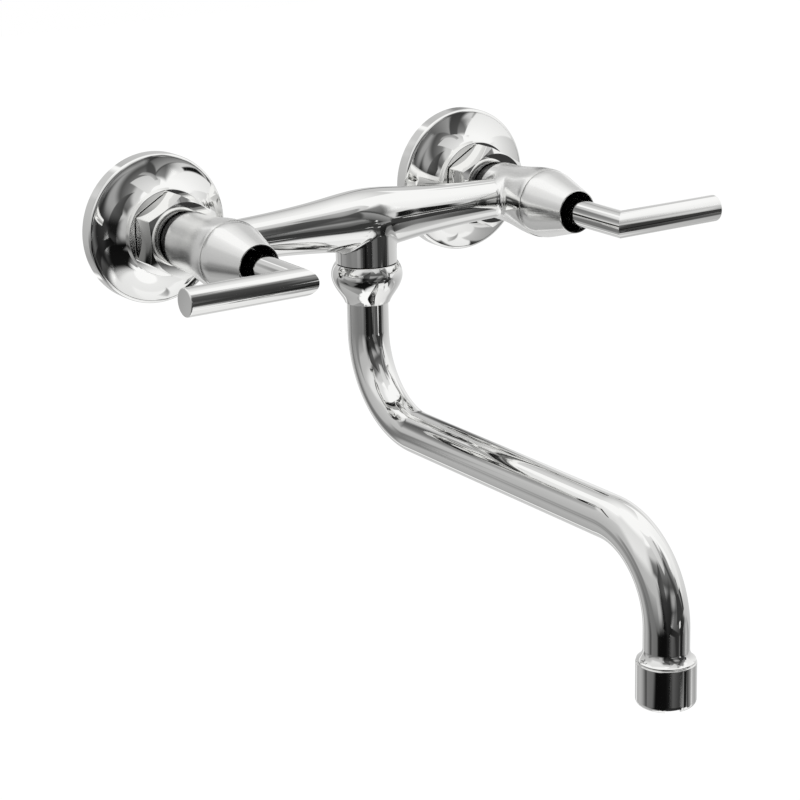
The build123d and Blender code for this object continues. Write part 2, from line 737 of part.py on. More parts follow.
# ---------------------------------------------------------------- spout
with BuildPart() as spout_nut:
    with BuildSketch(tee_plane):
        with BuildLine():
            nut_foot = (spout_radius + spout_nut_foot, -neck_bottom - spout_nut_length)
            crown = Spline(
                (neck_radius + spout_nut_crown, -neck_bottom),
                (neck_radius + spout_nut_swell, -neck_bottom - spout_nut_belly_drop),
                (nut_thread_radius + spout_nut_waist_wall, -neck_bottom - spout_nut_waist_drop),
                nut_foot,
                tangents=((0.6, -0.8), (-0.35, -0.94)),
            )
            Polyline(
                crown @ 1,
                (spout_radius + turning_gap, -neck_bottom - spout_nut_length),
                (spout_radius + turning_gap, -thrust_ring_bottom),
                (nut_thread_radius, -thrust_ring_bottom),
                (nut_thread_radius, -neck_bottom),
                crown @ 0,
            )
        make_face()
    revolve(axis=tee_axis)

with BuildPart() as slip_ring:
    with BuildSketch(Plane.XY.offset(-slip_ring_bottom)):
        with Locations((0, -body_reach)):
            Circle(neck_thread_radius - ring_play)
            Circle(spigot_radius + turning_gap, mode=Mode.SUBTRACT)
    extrude(amount=slip_ring_thickness)

with BuildPart() as thrust_ring:
    with BuildSketch(Plane.XY.offset(-thrust_ring_bottom)):
        with Locations((0, -body_reach)):
            Circle(neck_thread_radius - ring_play)
            Circle(spout_radius + turning_gap, mode=Mode.SUBTRACT)
    extrude(amount=thrust_ring_thickness)

with BuildPart() as spout_spigot:
    with BuildSketch(tee_plane):
        with BuildLine():
            Polyline(
                (spigot_bore, -spigot_top),
                (spigot_radius - spigot_lead, -spigot_top),
                (spigot_radius, -spigot_top - spigot_lead_length),
                (spigot_radius, -shoulder_top),
                (spigot_shoulder_radius, -shoulder_top),
                (spigot_shoulder_radius, -shoulder_bottom),
                (spout_radius, -shoulder_bottom),
                (spout_radius, -tube_top),
                (spigot_bore, -tube_top),
                close=True,
            )
        make_face()
        for ring_depth in (spout_oring_high, spout_oring_low):
            with BuildLine():
                groove_top = ring_depth - spout_oring_section - groove_play
                groove_bottom = ring_depth + spout_oring_section + groove_play
                Polyline(
                    (spout_groove, -groove_top),
                    (spigot_socket_radius, -groove_top),
                    (spigot_socket_radius, -groove_bottom),
                    (spout_groove, -groove_bottom),
                    close=True,
                )
            make_face(mode=Mode.SUBTRACT)
    revolve(axis=tee_axis)

with BuildPart() as spout_oring_upper:
    with BuildSketch(tee_plane):
        with Locations((spout_groove + spout_oring_section, -spout_oring_high)):
            Circle(spout_oring_section)
    revolve(axis=tee_axis)

with BuildPart() as spout_oring_lower:
    with BuildSketch(tee_plane):
        with Locations((spout_groove + spout_oring_section, -spout_oring_low)):
            Circle(spout_oring_section)
    revolve(axis=tee_axis)

with BuildPart() as spout_tube:
    with BuildLine(Plane.YZ) as spout_path:
        drop = Line((-body_reach, -tube_top), (-body_reach, -spout_drop))
        heel = JernArc(drop @ 1, (0, -1), first_bend, -90)
        run = Line(heel @ 1, heel @ 1 + Vector(0, -spout_run, 0))
        toe = JernArc(run @ 1, (-1, 0), second_bend, 90)
        Line(toe @ 1, (outlet_y, -spout_end))
    with BuildSketch(Plane.XY.offset(-tube_top)):
        with Locations((0, -body_reach)):
            Circle(spout_radius)
            Circle(spout_radius - spout_wall, mode=Mode.SUBTRACT)
    sweep(path=spout_path.line)

# ---------------------------------------------------------------- outlet and aerator
with BuildPart() as outlet_collar:
    with BuildSketch(outlet_plane):
        with BuildLine():
            foot = RadiusArc(
                (spout_radius, -outlet_cone_top),
                (spout_radius + collar_foot, -outlet_cone_top - collar_foot_length),
                -collar_foot_radius,
            )
            Polyline(
                foot @ 1,
                (outlet_collar_radius, -outlet_cone_bottom),
                (outlet_collar_radius, -outlet_collar_bottom),
                (outlet_thread_radius, -outlet_collar_bottom),
                (outlet_thread_radius, -outlet_thread_bottom),
                (outlet_bore, -outlet_thread_bottom),
                (outlet_bore, -spout_end),
                (spout_radius, -spout_end),
                (spout_radius, -outlet_cone_top),
            )
        make_face()
    revolve(axis=outlet_axis)

with BuildPart() as aerator_shell:
    with BuildSketch(outlet_plane):
        with BuildLine():
            Polyline(
                (aerator_lip_bore, -aerator_bottom),
                (aerator_lip_bore, -aerator_lip_top),
                (outlet_thread_radius + thread_clearance, -aerator_lip_top),
                (outlet_thread_radius + thread_clearance, -outlet_collar_bottom),
                (aerator_radius - aerator_top_chamfer, -outlet_collar_bottom),
                (aerator_radius, -outlet_collar_bottom - aerator_top_chamfer),
                (aerator_radius, -aerator_bottom + aerator_bottom_round),
            )
            RadiusArc(
                (aerator_radius, -aerator_bottom + aerator_bottom_round),
                (aerator_radius - aerator_bottom_round, -aerator_bottom),
                aerator_bottom_round,
            )
            Line(
                (aerator_radius - aerator_bottom_round, -aerator_bottom),
                (aerator_lip_bore, -aerator_bottom),
            )
        make_face()
    revolve(axis=outlet_axis)
    with BuildSketch(Plane.XY.offset(-aerator_bottom)):
        with Locations((0, outlet_y)):
            Rectangle(coin_slot_width, 3 * aerator_radius, rotation=coin_slot_turn)
    extrude(amount=coin_slot_depth, mode=Mode.SUBTRACT)

with BuildPart() as aerator_seal:
    with BuildSketch(Plane.XY.offset(-seal_bottom)):
        with Locations((0, outlet_y)):
            Circle(outlet_thread_radius)
            Circle(aerator_seal_inner, mode=Mode.SUBTRACT)
    extrude(amount=aerator_seal_thickness)

honeycomb_cell = honeycomb_pitch - honeycomb_web
honeycomb_cells = cells_inside(honeycomb_pitch, honeycomb_cell, aerator_seal_inner)
with BuildPart() as aerator_insert:
    with BuildSketch(outlet_plane):
        with BuildLine():
            Polyline(
                (0, -insert_bottom),
                (insert_face_radius, -insert_bottom),
                (insert_face_radius, -aerator_lip_top),
                (insert_outer, -aerator_lip_top),
                (insert_outer, -seal_bottom),
                (insert_outer - insert_wall, -seal_bottom),
                (insert_outer - insert_wall, -strainer_bottom),
                (aerator_seal_inner, -strainer_bottom),
                (aerator_seal_inner, -honeycomb_top),
                (0, -honeycomb_top),
                close=True,
            )
        make_face()
    revolve(axis=outlet_axis)
    with BuildSketch(Plane.XY.offset(-insert_bottom)):
        with Locations((0, outlet_y)):
            with Locations(*honeycomb_cells):
                RegularPolygon(honeycomb_cell / 2, 6, major_radius=False, rotation=30)
    extrude(amount=honeycomb_thickness, mode=Mode.SUBTRACT)

strainer_cell = strainer_pitch - strainer_web
strainer_cells = cells_inside(strainer_pitch, strainer_cell, aerator_seal_inner)
with BuildPart() as strainer_disc:
    with BuildSketch(Plane.XY.offset(-strainer_bottom)):
        with Locations((0, outlet_y)):
            Circle(insert_outer - insert_wall - insert_clearance)
            with Locations(*strainer_cells):
                RegularPolygon(strainer_cell / 2, 6, major_radius=False, rotation=30, mode=Mode.SUBTRACT)
    extrude(amount=strainer_thickness)

# ---------------------------------------------------------------- right-hand copies
with BuildPart() as wall_leg_right:
    with Locations(to_right):
        add(wall_leg_left.part)

with BuildPart() as wall_flange_right:
    with Locations(to_right):
        add(wall_flange_left.part)

with BuildPart() as union_nut_right:
    with Locations(to_right):
        add(union_nut_left.part)

with BuildPart() as sealing_washer_right:
    with Locations(to_right):
        add(sealing_washer_left.part)

with BuildPart() as inlet_tail_right:
    with Locations(to_right):
        add(inlet_tail_left.part)

with BuildPart() as seat_washer_right:
    with Locations(to_right):
        add(seat_washer_left.part)

with BuildPart() as gland_body_right:
    with Locations(to_right):
        add(gland_body_left.part)

with BuildPart() as fixed_disc_right:
    with Locations(to_right):
        add(fixed_disc_left.part)

with BuildPart() as turning_disc_right:
    with Locations(to_right):
        add(turning_disc_left.part)

with BuildPart() as spindle_right:
    with Locations(to_right):
        add(spindle_left.part)

with BuildPart() as spindle_oring_right:
    with Locations(to_right):
        add(spindle_oring_left.part)

with BuildPart() as circlip_right:
    with Locations(to_right):
        add(circlip_left.part)

with BuildPart() as bonnet_right:
    with Locations(to_right):
        add(bonnet_left.part)

with BuildPart() as lever_right:
    add(lever_left.part)
    mirror(about=Plane.YZ, mode=Mode.REPLACE)

with BuildPart() as lever_screw_right:
    with Locations(to_right):
        add(lever_screw_left.part)

# ---------------------------------------------------------------- export
os.makedirs("parts", exist_ok=True)
wall_leg_left.part.label = "wall_leg_left"
export_step(wall_leg_left.part, "parts/wall_leg_left.step")
wall_flange_left.part.label = "wall_flange_left"
export_step(wall_flange_left.part, "parts/wall_flange_left.step")
union_nut_left.part.label = "union_nut_left"
export_step(union_nut_left.part, "parts/union_nut_left.step")
sealing_washer_left.part.label = "sealing_washer_left"
export_step(sealing_washer_left.part, "parts/sealing_washer_left.step")
inlet_tail_left.part.label = "inlet_tail_left"
export_step(inlet_tail_left.part, "parts/inlet_tail_left.step")
mixer_body.part.label = "mixer_body"
export_step(mixer_body.part, "parts/mixer_body.step")
seat_washer_left.part.label = "seat_washer_left"
export_step(seat_washer_left.part, "parts/seat_washer_left.step")
gland_body_left.part.label = "gland_body_left"
export_step(gland_body_left.part, "parts/gland_body_left.step")
fixed_disc_left.part.label = "fixed_disc_left"
export_step(fixed_disc_left.part, "parts/fixed_disc_left.step")
turning_disc_left.part.label = "turning_disc_left"
export_step(turning_disc_left.part, "parts/turning_disc_left.step")
spindle_left.part.label = "spindle_left"
export_step(spindle_left.part, "parts/spindle_left.step")
spindle_oring_left.part.label = "spindle_oring_left"
export_step(spindle_oring_left.part, "parts/spindle_oring_left.step")
circlip_left.part.label = "circlip_left"
export_step(circlip_left.part, "parts/circlip_left.step")
bonnet_left.part.label = "bonnet_left"
export_step(bonnet_left.part, "parts/bonnet_left.step")
lever_left.part.label = "lever_left"
export_step(lever_left.part, "parts/lever_left.step")
lever_screw_left.part.label = "lever_screw_left"
export_step(lever_screw_left.part, "parts/lever_screw_left.step")
spout_nut.part.label = "spout_nut"
export_step(spout_nut.part, "parts/spout_nut.step")
slip_ring.part.label = "slip_ring"
export_step(slip_ring.part, "parts/slip_ring.step")
thrust_ring.part.label = "thrust_ring"
export_step(thrust_ring.part, "parts/thrust_ring.step")
spout_spigot.part.label = "spout_spigot"
export_step(spout_spigot.part, "parts/spout_spigot.step")
spout_oring_upper.part.label = "spout_oring_upper"
export_step(spout_oring_upper.part, "parts/spout_oring_upper.step")
spout_oring_lower.part.label = "spout_oring_lower"
export_step(spout_oring_lower.part, "parts/spout_oring_lower.step")
spout_tube.part.label = "spout_tube"
export_step(spout_tube.part, "parts/spout_tube.step")
outlet_collar.part.label = "outlet_collar"
export_step(outlet_collar.part, "parts/outlet_collar.step")
aerator_shell.part.label = "aerator_shell"
export_step(aerator_shell.part, "parts/aerator_shell.step")
aerator_seal.part.label = "aerator_seal"
export_step(aerator_seal.part, "parts/aerator_seal.step")
aerator_insert.part.label = "aerator_insert"
export_step(aerator_insert.part, "parts/aerator_insert.step")
strainer_disc.part.label = "strainer_disc"
export_step(strainer_disc.part, "parts/strainer_disc.step")
wall_leg_right.part.label = "wall_leg_right"
export_step(wall_leg_right.part, "parts/wall_leg_right.step")
wall_flange_right.part.label = "wall_flange_right"
export_step(wall_flange_right.part, "parts/wall_flange_right.step")
union_nut_right.part.label = "union_nut_right"
export_step(union_nut_right.part, "parts/union_nut_right.step")
sealing_washer_right.part.label = "sealing_washer_right"
export_step(sealing_washer_right.part, "parts/sealing_washer_right.step")
inlet_tail_right.part.label = "inlet_tail_right"
export_step(inlet_tail_right.part, "parts/inlet_tail_right.step")
seat_washer_right.part.label = "seat_washer_right"
export_step(seat_washer_right.part, "parts/seat_washer_right.step")
gland_body_right.part.label = "gland_body_right"
export_step(gland_body_right.part, "parts/gland_body_right.step")
fixed_disc_right.part.label = "fixed_disc_right"
export_step(fixed_disc_right.part, "parts/fixed_disc_right.step")
turning_disc_right.part.label = "turning_disc_right"
export_step(turning_disc_right.part, "parts/turning_disc_right.step")
spindle_right.part.label = "spindle_right"
export_step(spindle_right.part, "parts/spindle_right.step")
spindle_oring_right.part.label = "spindle_oring_right"
export_step(spindle_oring_right.part, "parts/spindle_oring_right.step")
circlip_right.part.label = "circlip_right"
export_step(circlip_right.part, "parts/circlip_right.step")
bonnet_right.part.label = "bonnet_right"
export_step(bonnet_right.part, "parts/bonnet_right.step")
lever_right.part.label = "lever_right"
export_step(lever_right.part, "parts/lever_right.step")
lever_screw_right.part.label = "lever_screw_right"
export_step(lever_screw_right.part, "parts/lever_screw_right.step")
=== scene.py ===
"""Looks of a two-handle wall mixer faucet with a swivelling swan-neck spout.

Metres, +Z up. The wall face is the plane y = 0 and the faucet stands out of it towards -Y.
A turned piece is made from its section: places written as (radius, distance along the axis),
followed round the solid with the open air on the right hand.
"""

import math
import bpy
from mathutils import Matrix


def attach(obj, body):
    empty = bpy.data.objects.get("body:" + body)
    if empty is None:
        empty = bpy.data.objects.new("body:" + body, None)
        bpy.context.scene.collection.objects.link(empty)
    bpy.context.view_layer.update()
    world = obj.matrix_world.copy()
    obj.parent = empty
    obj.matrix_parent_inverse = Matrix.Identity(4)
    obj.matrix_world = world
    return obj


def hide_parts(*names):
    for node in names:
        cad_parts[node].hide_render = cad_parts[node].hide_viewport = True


bl_info = {
    "name": "Wall Mixer Faucet",
    "version": (1, 0, 0),
    "blender": (4, 5, 0),
    "location": "View3D > Sidebar > Faucet",
    "description": "Builds the chromed pieces, finishes and studio of a wall mixer faucet",
    "category": "Add Mesh",
}

import bmesh
import bpy
import numpy as np
from bpy.props import FloatProperty, FloatVectorProperty, PointerProperty
from mathutils import Matrix

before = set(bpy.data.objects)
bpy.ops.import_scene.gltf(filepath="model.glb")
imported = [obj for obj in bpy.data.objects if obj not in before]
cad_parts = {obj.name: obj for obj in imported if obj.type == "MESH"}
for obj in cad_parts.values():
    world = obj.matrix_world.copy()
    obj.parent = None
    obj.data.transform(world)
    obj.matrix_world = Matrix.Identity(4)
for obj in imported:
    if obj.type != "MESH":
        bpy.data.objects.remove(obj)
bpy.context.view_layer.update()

MM = 0.001
OUT = (0.0, -1.0, 0.0)
DOWN = (0.0, 0.0, -1.0)
QUARTER = math.tan(math.pi / 8)    # bulge of a quarter circle
SIDES = (("left", -1), ("right", 1))
FLOOR = -1.4
CENTRE = (0.0, -0.1, -0.04)

# Studio cards, in degrees round the faucet's middle: (angle from -Y towards +X, angle up) of
# the four corners, grey at the lower and at the upper edge, width of the soft edge, and distance.
# These numbers weren't laid out by hand. A search program moved the cards until their
# reflections in the plate looked like those in the photograph.
CARDS = (
    (((-179, -75), (-68, -70), (21, 69), (-179, 37)), (0.270, 0.638), 1, 2.60),
    (((-58, -67), (179, -82), (179, 15), (178, 68)), (0.889, 0.498), 1, 2.59),
    (((-63, -1), (68, -49), (72, 29), (-33, 35)), (0.311, 0.379), 11, 2.58),
    (((-61, 22), (39, 8), (64, 54), (-54, 48)), (0.015, 0.288), 10, 2.57),
    (((-50, -74), (-25, 1), (-16, 49), (-47, 22)), (0.107, 0.048), 2, 2.56),
    (((10, -2), (139, -72), (154, 16), (50, 36)), (0.350, 1.000), 14, 2.55),
    (((139, -17), (155, 34), (154, 39), (139, 13)), (0.063, 0.111), 4, 2.54),
    (((-58, -50), (70, -16), (19, 16), (-54, -46)), (0.004, 0.190), 7, 2.53),
    (((-62, -25), (46, 0), (-57, 21), (-59, 3)), (0.008, 0.010), 15, 2.52),
    (((81, -25), (35, -20), (2, -53), (75, -57)), (0.826, 0.953), 5, 2.51),
    (((-159, 13), (-5, 63), (-123, 61), (-167, 40)), (0.667, 0.913), 6, 2.45),
    (((-105, 3), (-61, 16), (-29, 75), (-142, 69)), (0.847, 0.754), 16, 2.42),
    (((-48, -72), (5, -41), (-23, -3), (-168, -16)), (0.009, 0.002), 17, 2.39),
    (((-96, -77), (-130, -37), (-168, -7), (-177, -63)), (0.486, 0.405), 5, 2.34),
    (((-127, -22), (-67, -23), (-67, 3), (-153, -12)), (0.088, 0.436), 3, 2.30),
    (((29, -36), (47, -24), (32, 48), (14, 61)), (0.002, 0.089), 3, 2.29),
    (((-143, 7), (-134, 24), (-173, 42), (-159, 26)), (0.650, 0.002), 4, 2.18),
    (((117, 44), (179, 33), (178, 66), (96, 71)), (0.624, 0.967), 2, 2.14),
    (((23, -17), (29, -16), (31, -11), (29, 12)), (1.000, 1.000), 1, 1.98),
    (((41, -25), (55, -42), (72, -44), (55, -11)), (0.002, 0.349), 1, 1.83),
    (((-1, 31), (45, 52), (53, 63), (-21, 82)), (0.590, 0.831), 1, 1.72),
    (((60, -60), (50, -50), (35, -35), (31, -44)), (0.217, 1.000), 2, 1.70),
    (((48, -0), (52, 21), (44, 18), (41, 4)), (0.013, 0.003), 2, 1.60),
    (((23, -26), (19, -20), (-39, -10), (-49, -18)), (0.031, 0.004), 1, 1.09),
    (((31, 59), (7, 34), (15, 33), (41, 57)), (0.485, 0.245), 2, 0.95),
    (((-97, -46), (-63, -28), (-115, 4), (-123, -9)), (0.143, 0.250), 6, 0.74),
    (((51, -11), (51, 4), (20, 5), (8, -16)), (0.043, 0.038), 1, 0.61),
    (((-22, -43), (-11, -28), (14, 25), (-45, 2)), (0.002, 0.048), 10, 0.60),
    (((42, 8), (29, 49), (21, 21), (42, -14)), (0.340, 0.093), 2, 0.59),
    (((-145, -28), (-134, 4), (-163, -20), (-173, -41)), (0.203, 0.149), 5, 0.58),
    (((104, 30), (62, 56), (48, -0), (55, -7)), (1.000, 0.809), 1, 0.57),
    (((87, -31), (56, -15), (62, -46), (109, -45)), (0.307, 0.602), 3, 0.56),
)


def mm(*lengths):
    """Lengths in millimetres, as metres."""
    return [length * MM for length in lengths]


# ---------------------------------------------------------------- sizes and finishes
def size(name, description, millimetres):
    """A length property, shown in the scene's length unit."""
    return FloatProperty(name=name, description=description, default=millimetres * MM,
                         min=0.0, precision=5, unit="LENGTH")


def tint(name, description, default):
    """A colour property."""
    return FloatVectorProperty(name=name, description=description, subtype="COLOR", size=3,
                               min=0.0, max=1.0, default=default)


class FaucetSizes(bpy.types.PropertyGroup):
    inlet_spacing: size("Inlet spacing", "Centre to centre of the wall inlets", 150.0)
    body_reach: size("Body reach", "Wall face to the crossbar's axis", 44.0)
    lever_reach: size("Lever reach", "Wall face to the axis of the outer lever arms", 116.0)
    lever_length: size("Lever length", "Valve axis to a lever's tip", 48.0)
    lever_rod: size("Lever rod", "Radius of the lever's rod", 5.45)
    flange_radius: size("Flange radius", "Radius of the wall flange", 30.7)
    nut_flats: size("Nut flats", "Distance across the flats of a union nut", 30.0)
    spout_radius: size("Spout radius", "Radius of the spout tube", 8.5)
    spout_run: size("Spout run", "Straight length between the spout's bends", 125.4)
    casting_cell: size("Casting cell", "Mesh size of the cast mixer body", 0.55)


class FaucetFinishes(bpy.types.PropertyGroup):
    chrome: tint("Chrome", "Tint of the polished chrome plate", (0.946, 0.946, 0.934))
    haze: FloatProperty(name="Haze", description="Roughness of the polished plate",
                        subtype="FACTOR", default=0.03, min=0.0, max=1.0)
    satin: FloatProperty(name="Satin", description="Roughness added on the satin valve barrels",
                         subtype="FACTOR", default=0.19, min=0.0, max=1.0)
    brass: tint("Brass", "Bare machined brass", (0.74, 0.55, 0.27))
    # Gland: the glands' near-black tint is painted shade, standing for the darkness deep inside the
    # bonnet's mouth
    gland: tint("Gland", "Valve glands painted near black as the shade deep in the bonnet mouth", (0.012, 0.012, 0.012))
    # Tail: the tails' dark grey is painted shade, standing for the shadow in the gap between the
    # union nut and the body
    tail: tint("Tail", "Inlet tails painted dark as the shade in the gap between union nut and body", (0.26, 0.26, 0.26))
    rubber: tint("Rubber", "Black sealing rubber", (0.03, 0.03, 0.032))
    fibre: tint("Fibre", "Red pressed fibre", (0.33, 0.08, 0.05))
    ceramic: tint("Ceramic", "Lapped ceramic", (0.85, 0.84, 0.81))
    steel: tint("Spring steel", "Ground stainless steel", (0.58, 0.58, 0.6))
    slip_plastic: tint("Slip rings", "Natural moulded plastic", (0.8, 0.8, 0.77))
    insert_plastic: tint("Aerator insert", "Black moulded plastic", (0.018, 0.018, 0.019))
    floor: tint("Floor", "Studio floor", (0.92, 0.92, 0.92))


# ---------------------------------------------------------------- sections of turned pieces
def wall(*corners):
    """Straight runs through the corners, each with its own flat normal."""
    runs = []
    for a, b in zip(corners, corners[1:]):
        a, b = np.array(a, float), np.array(b, float)
        along = (b - a) / np.linalg.norm(b - a)
        normal = np.array((along[1], -along[0]))
        runs.append((np.array((a, b)), np.array((normal, normal))))
    return runs


def rounding(start, end, bulge=QUARTER, steps=6):
    """A circular run. bulge is its height over half its chord: above 0 the run swells outward,
    below 0 it is hollow.
    """
    start, end = np.array(start, float), np.array(end, float)
    chord = end - start
    reach = np.linalg.norm(chord)
    outward = np.array((chord[1], -chord[0])) / reach
    sweep = 4 * math.atan(bulge)
    radius = reach / 2 / math.sin(abs(sweep) / 2)
    centre = (start + end) / 2 - outward * math.copysign(radius * math.cos(sweep / 2), bulge)
    turn = np.linspace(0, sweep, steps + 1)
    first = start - centre
    spokes = np.stack((first[0] * np.cos(turn) - first[1] * np.sin(turn),
                       first[0] * np.sin(turn) + first[1] * np.cos(turn)), 1)
    return [(spokes + centre, math.copysign(1, bulge) * spokes / radius)]


def bulge_through(start, middle, end):
    """Bulge of the circular run from start to end that passes through middle."""
    start, middle, end = (np.array(p, float) for p in (start, middle, end))
    chord = end - start
    half = np.linalg.norm(chord) / 2
    outward = np.array((chord[1], -chord[0])) / half / 2
    rise = float((middle - (start + end) / 2) @ outward)
    run = float((middle - (start + end) / 2) @ chord) / half / 2
    centre = (rise**2 + run**2 - half**2) / (2 * rise)
    return (centre + math.copysign(math.hypot(centre, half), rise)) / half


def flowing(points, start_dir, end_dir, steps=10):
    """A smooth run through the points that leaves and arrives along the given directions."""
    points = np.array(points, float)
    gaps = np.linalg.norm(np.diff(points, axis=0), axis=1)
    count = len(points)
    matrix, sides = np.eye(count), np.zeros((count, 2))
    sides[0] = np.array(start_dir, float) / np.linalg.norm(start_dir)
    sides[-1] = np.array(end_dir, float) / np.linalg.norm(end_dir)
    for i in range(1, count - 1):
        before, after = gaps[i - 1], gaps[i]
        matrix[i, i - 1:i + 2] = after, 2 * (before + after), before
        sides[i] = 3 * (after * (points[i] - points[i - 1]) / before
                        + before * (points[i + 1] - points[i]) / after)
    slopes = np.linalg.solve(matrix, sides)
    places, ways = [], []
    for i in range(count - 1):
        t = np.linspace(0, 1, steps + 1)[(0 if i == 0 else 1):, None]
        a, b, m, n = points[i], points[i + 1], gaps[i] * slopes[i], gaps[i] * slopes[i + 1]
        places.append((2 * t**3 - 3 * t**2 + 1) * a + (t**3 - 2 * t**2 + t) * m
                      + (3 * t**2 - 2 * t**3) * b + (t**3 - t**2) * n)
        ways.append((6 * t**2 - 6 * t) * (a - b)
                    + (3 * t**2 - 4 * t + 1) * m + (3 * t**2 - 2 * t) * n)
    places, ways = np.concatenate(places), np.concatenate(ways)
    ways /= np.linalg.norm(ways, axis=1)[:, None]
    return [(places, np.stack((ways[:, 1], -ways[:, 0]), 1))]


def closed(*parts):
    """Joins runs into one closed section, with a straight wall wherever two ends don't meet."""
    section, runs = [], [run for part in parts for run in part]
    for i, run in enumerate(runs):
        section.append(run)
        start = runs[(i + 1) % len(runs)][0][0]
        if np.linalg.norm(start - run[0][-1]) > 1e-9:
            section += wall(run[0][-1], start)
    return section


# ---------------------------------------------------------------- meshes
class Skin:
    """Vertices and faces with one normal a face corner."""

    def __init__(self):
        self.vertices, self.faces, self.normals, self.count, self.rings = [], [], [], 0, {}

    def ring(self, points):
        """Adds a ring of points and gives the number of its first one."""
        first = self.count
        self.vertices.append(np.asarray(points, float))
        self.count += len(points)
        return first

    def band(self, low, high, low_normals, high_normals, steps=None):
        """Quads between two rings of as many points, with their normals. steps picks some."""
        n = len(low_normals)
        low, high = (ring if isinstance(ring, np.ndarray) else ring + np.arange(n)
                     for ring in (low, high))
        steps = np.arange(n) if steps is None else steps
        after = (steps + 1) % n
        self.faces += np.stack((low[steps], low[after], high[after], high[steps]), 1).tolist()
        self.normals.append(np.stack((low_normals[steps], low_normals[after], high_normals[after],
                                      high_normals[steps]), 1).reshape(-1, 3))

    def cap(self, face, normal):
        """One flat face through the numbered points."""
        self.faces.append(list(face))
        self.normals.append(np.tile(normal, (len(face), 1)))

    def show(self, name, body, stands_for, slot, finish):
        """Makes the mesh, and puts it on its body in place of the plain solid."""
        mesh = bpy.data.meshes.new(name)
        corners = np.concatenate([np.array(face) for face in self.faces])
        used, corners = np.unique(corners, return_inverse=True)
        ends = np.cumsum([len(face) for face in self.faces])
        faces = [part.tolist() for part in np.split(corners, ends[:-1])]
        mesh.from_pydata(np.concatenate(self.vertices)[used].tolist(), [], faces)
        mesh.shade_smooth()
        normals = np.concatenate(self.normals)
        mesh.normals_split_custom_set((normals / np.linalg.norm(normals, axis=1)[:, None]).tolist())
        return place(bpy.data.objects.new(name, mesh), body, stands_for, finish)


def place(piece, body, stands_for, finish):
    """Links a piece, gives it its finish, and puts it on its body. stands_for names the plain
    solid that it takes the place of, or is None.
    """
    bpy.context.scene.collection.objects.link(piece)
    piece.data.materials.append(finish)
    if stands_for:
        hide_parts(stands_for)
    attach(piece, body)
    return piece


def paint(mesh, name, values):
    """Gives a mesh a value at each vertex, for its material to read."""
    layer = mesh.attributes.new(name, "FLOAT", "POINT")
    layer.data.foreach_set("value", values.astype(np.float32))


def axes_of(along):
    """The axis and two directions square to it, right-handed."""
    along = np.array(along, float)
    first = np.array((1.0, 0.0, 0.0)) if abs(along[0]) < 0.9 else np.array((0.0, 0.0, 1.0))
    return along, first, np.cross(along, first)


def spot_key(spot):
    """A section's place, as the key of its ring."""
    return round(float(spot[0]), 8), round(float(spot[1]), 8)


def turned(section, origin, along, around=192, skin=None, spread=None, steps=None):
    """Turns a section round its axis. spread gives the angles at a radius, and steps picks the
    quads that are made.
    """
    along, side, other = axes_of(along)
    even = np.linspace(0, 2 * math.pi, around, endpoint=False)
    skin = skin or Skin()

    def ring_at(spot):
        key = spot_key(spot)
        angles = spread(spot[0]) if spread else even
        radial = np.cos(angles)[:, None] * side + np.sin(angles)[:, None] * other
        if key not in skin.rings:
            skin.rings[key] = skin.ring(np.array(origin) + along * spot[1] + radial * spot[0])
        return skin.rings[key], radial

    for places, normals in section:
        for i in range(len(places) - 1):
            (low, low_way), (high, high_way) = ring_at(places[i]), ring_at(places[i + 1])
            if low != high:
                skin.band(low, high, along * normals[i][1] + low_way * normals[i][0],
                          along * normals[i + 1][1] + high_way * normals[i + 1][0], steps)
    return skin


# ---------------------------------------------------------------- cast shapes as distance fields
def blended(a, b, fillet):
    """Union of two fields with a round fillet."""
    return (np.maximum(fillet, np.minimum(a, b))
            - np.hypot(np.maximum(fillet - a, 0), np.maximum(fillet - b, 0)))


def rounded_cut(a, b, edge):
    """What lies in both fields, its edge rounded."""
    return (np.minimum(-edge, np.maximum(a, b))
            + np.hypot(np.maximum(edge + a, 0), np.maximum(edge + b, 0)))


def slope_of(field, points, reach):
    """Value and slope of a field at the points."""
    x, y, z = points.T
    slope = np.stack((field(x + reach, y, z) - field(x - reach, y, z),
                      field(x, y + reach, z) - field(x, y - reach, z),
                      field(x, y, z + reach) - field(x, y, z - reach)), 1) / (2 * reach)
    return field(x, y, z), slope


def wrapped(field, low, high, cell):
    """Wraps the zero surface of a field in quads, with the vertices drawn on to the surface."""
    low, high = np.array(low, float), np.array(high, float)
    counts = np.ceil((high - low) / cell).astype(int) + 1
    lines = [low[k] + cell * np.arange(counts[k]) for k in range(3)]
    values = field(*np.meshgrid(*lines, indexing="ij"))
    number = -np.ones(counts, int)
    edges = []
    for axis in range(3):
        step = np.eye(3, dtype=int)[axis]
        a = values[tuple(slice(0, counts[k] - step[k]) for k in range(3))]
        b = values[tuple(slice(step[k], None) for k in range(3))]
        found = np.argwhere((a < 0) != (b < 0))
        va, vb = a[tuple(found.T)], b[tuple(found.T)]
        u, v = (axis + 1) % 3, (axis + 2) % 3
        owners = []
        for du, dv in ((-1, -1), (0, -1), (0, 0), (-1, 0)):
            owner = found.copy()
            owner[:, u] += du
            owner[:, v] += dv
            owners.append(owner)
        edges.append((found + (va / (va - vb))[:, None] * step, owners, va < 0))
    used = np.unique(np.concatenate([owner for _, owners, _ in edges for owner in owners]), axis=0)
    number[tuple(used.T)] = np.arange(len(used))
    total, shares, faces = np.zeros((len(used), 3)), np.zeros(len(used)), []
    for crossing, owners, rising in edges:
        quad = np.stack([number[tuple(owner.T)] for owner in owners], 1)
        for k in range(4):
            np.add.at(total, quad[:, k], crossing)
            np.add.at(shares, quad[:, k], 1)
        quad[~rising] = quad[~rising][:, ::-1]
        faces.append(quad)
    points = low + cell * total / shares[:, None]
    for _ in range(4):
        value, slope = slope_of(field, points, cell * 0.05)
        steepness = np.maximum((slope**2).sum(1), 0.25)[:, None]
        points -= np.clip(value, -cell / 2, cell / 2)[:, None] * slope / steepness
    return points, np.concatenate(faces)


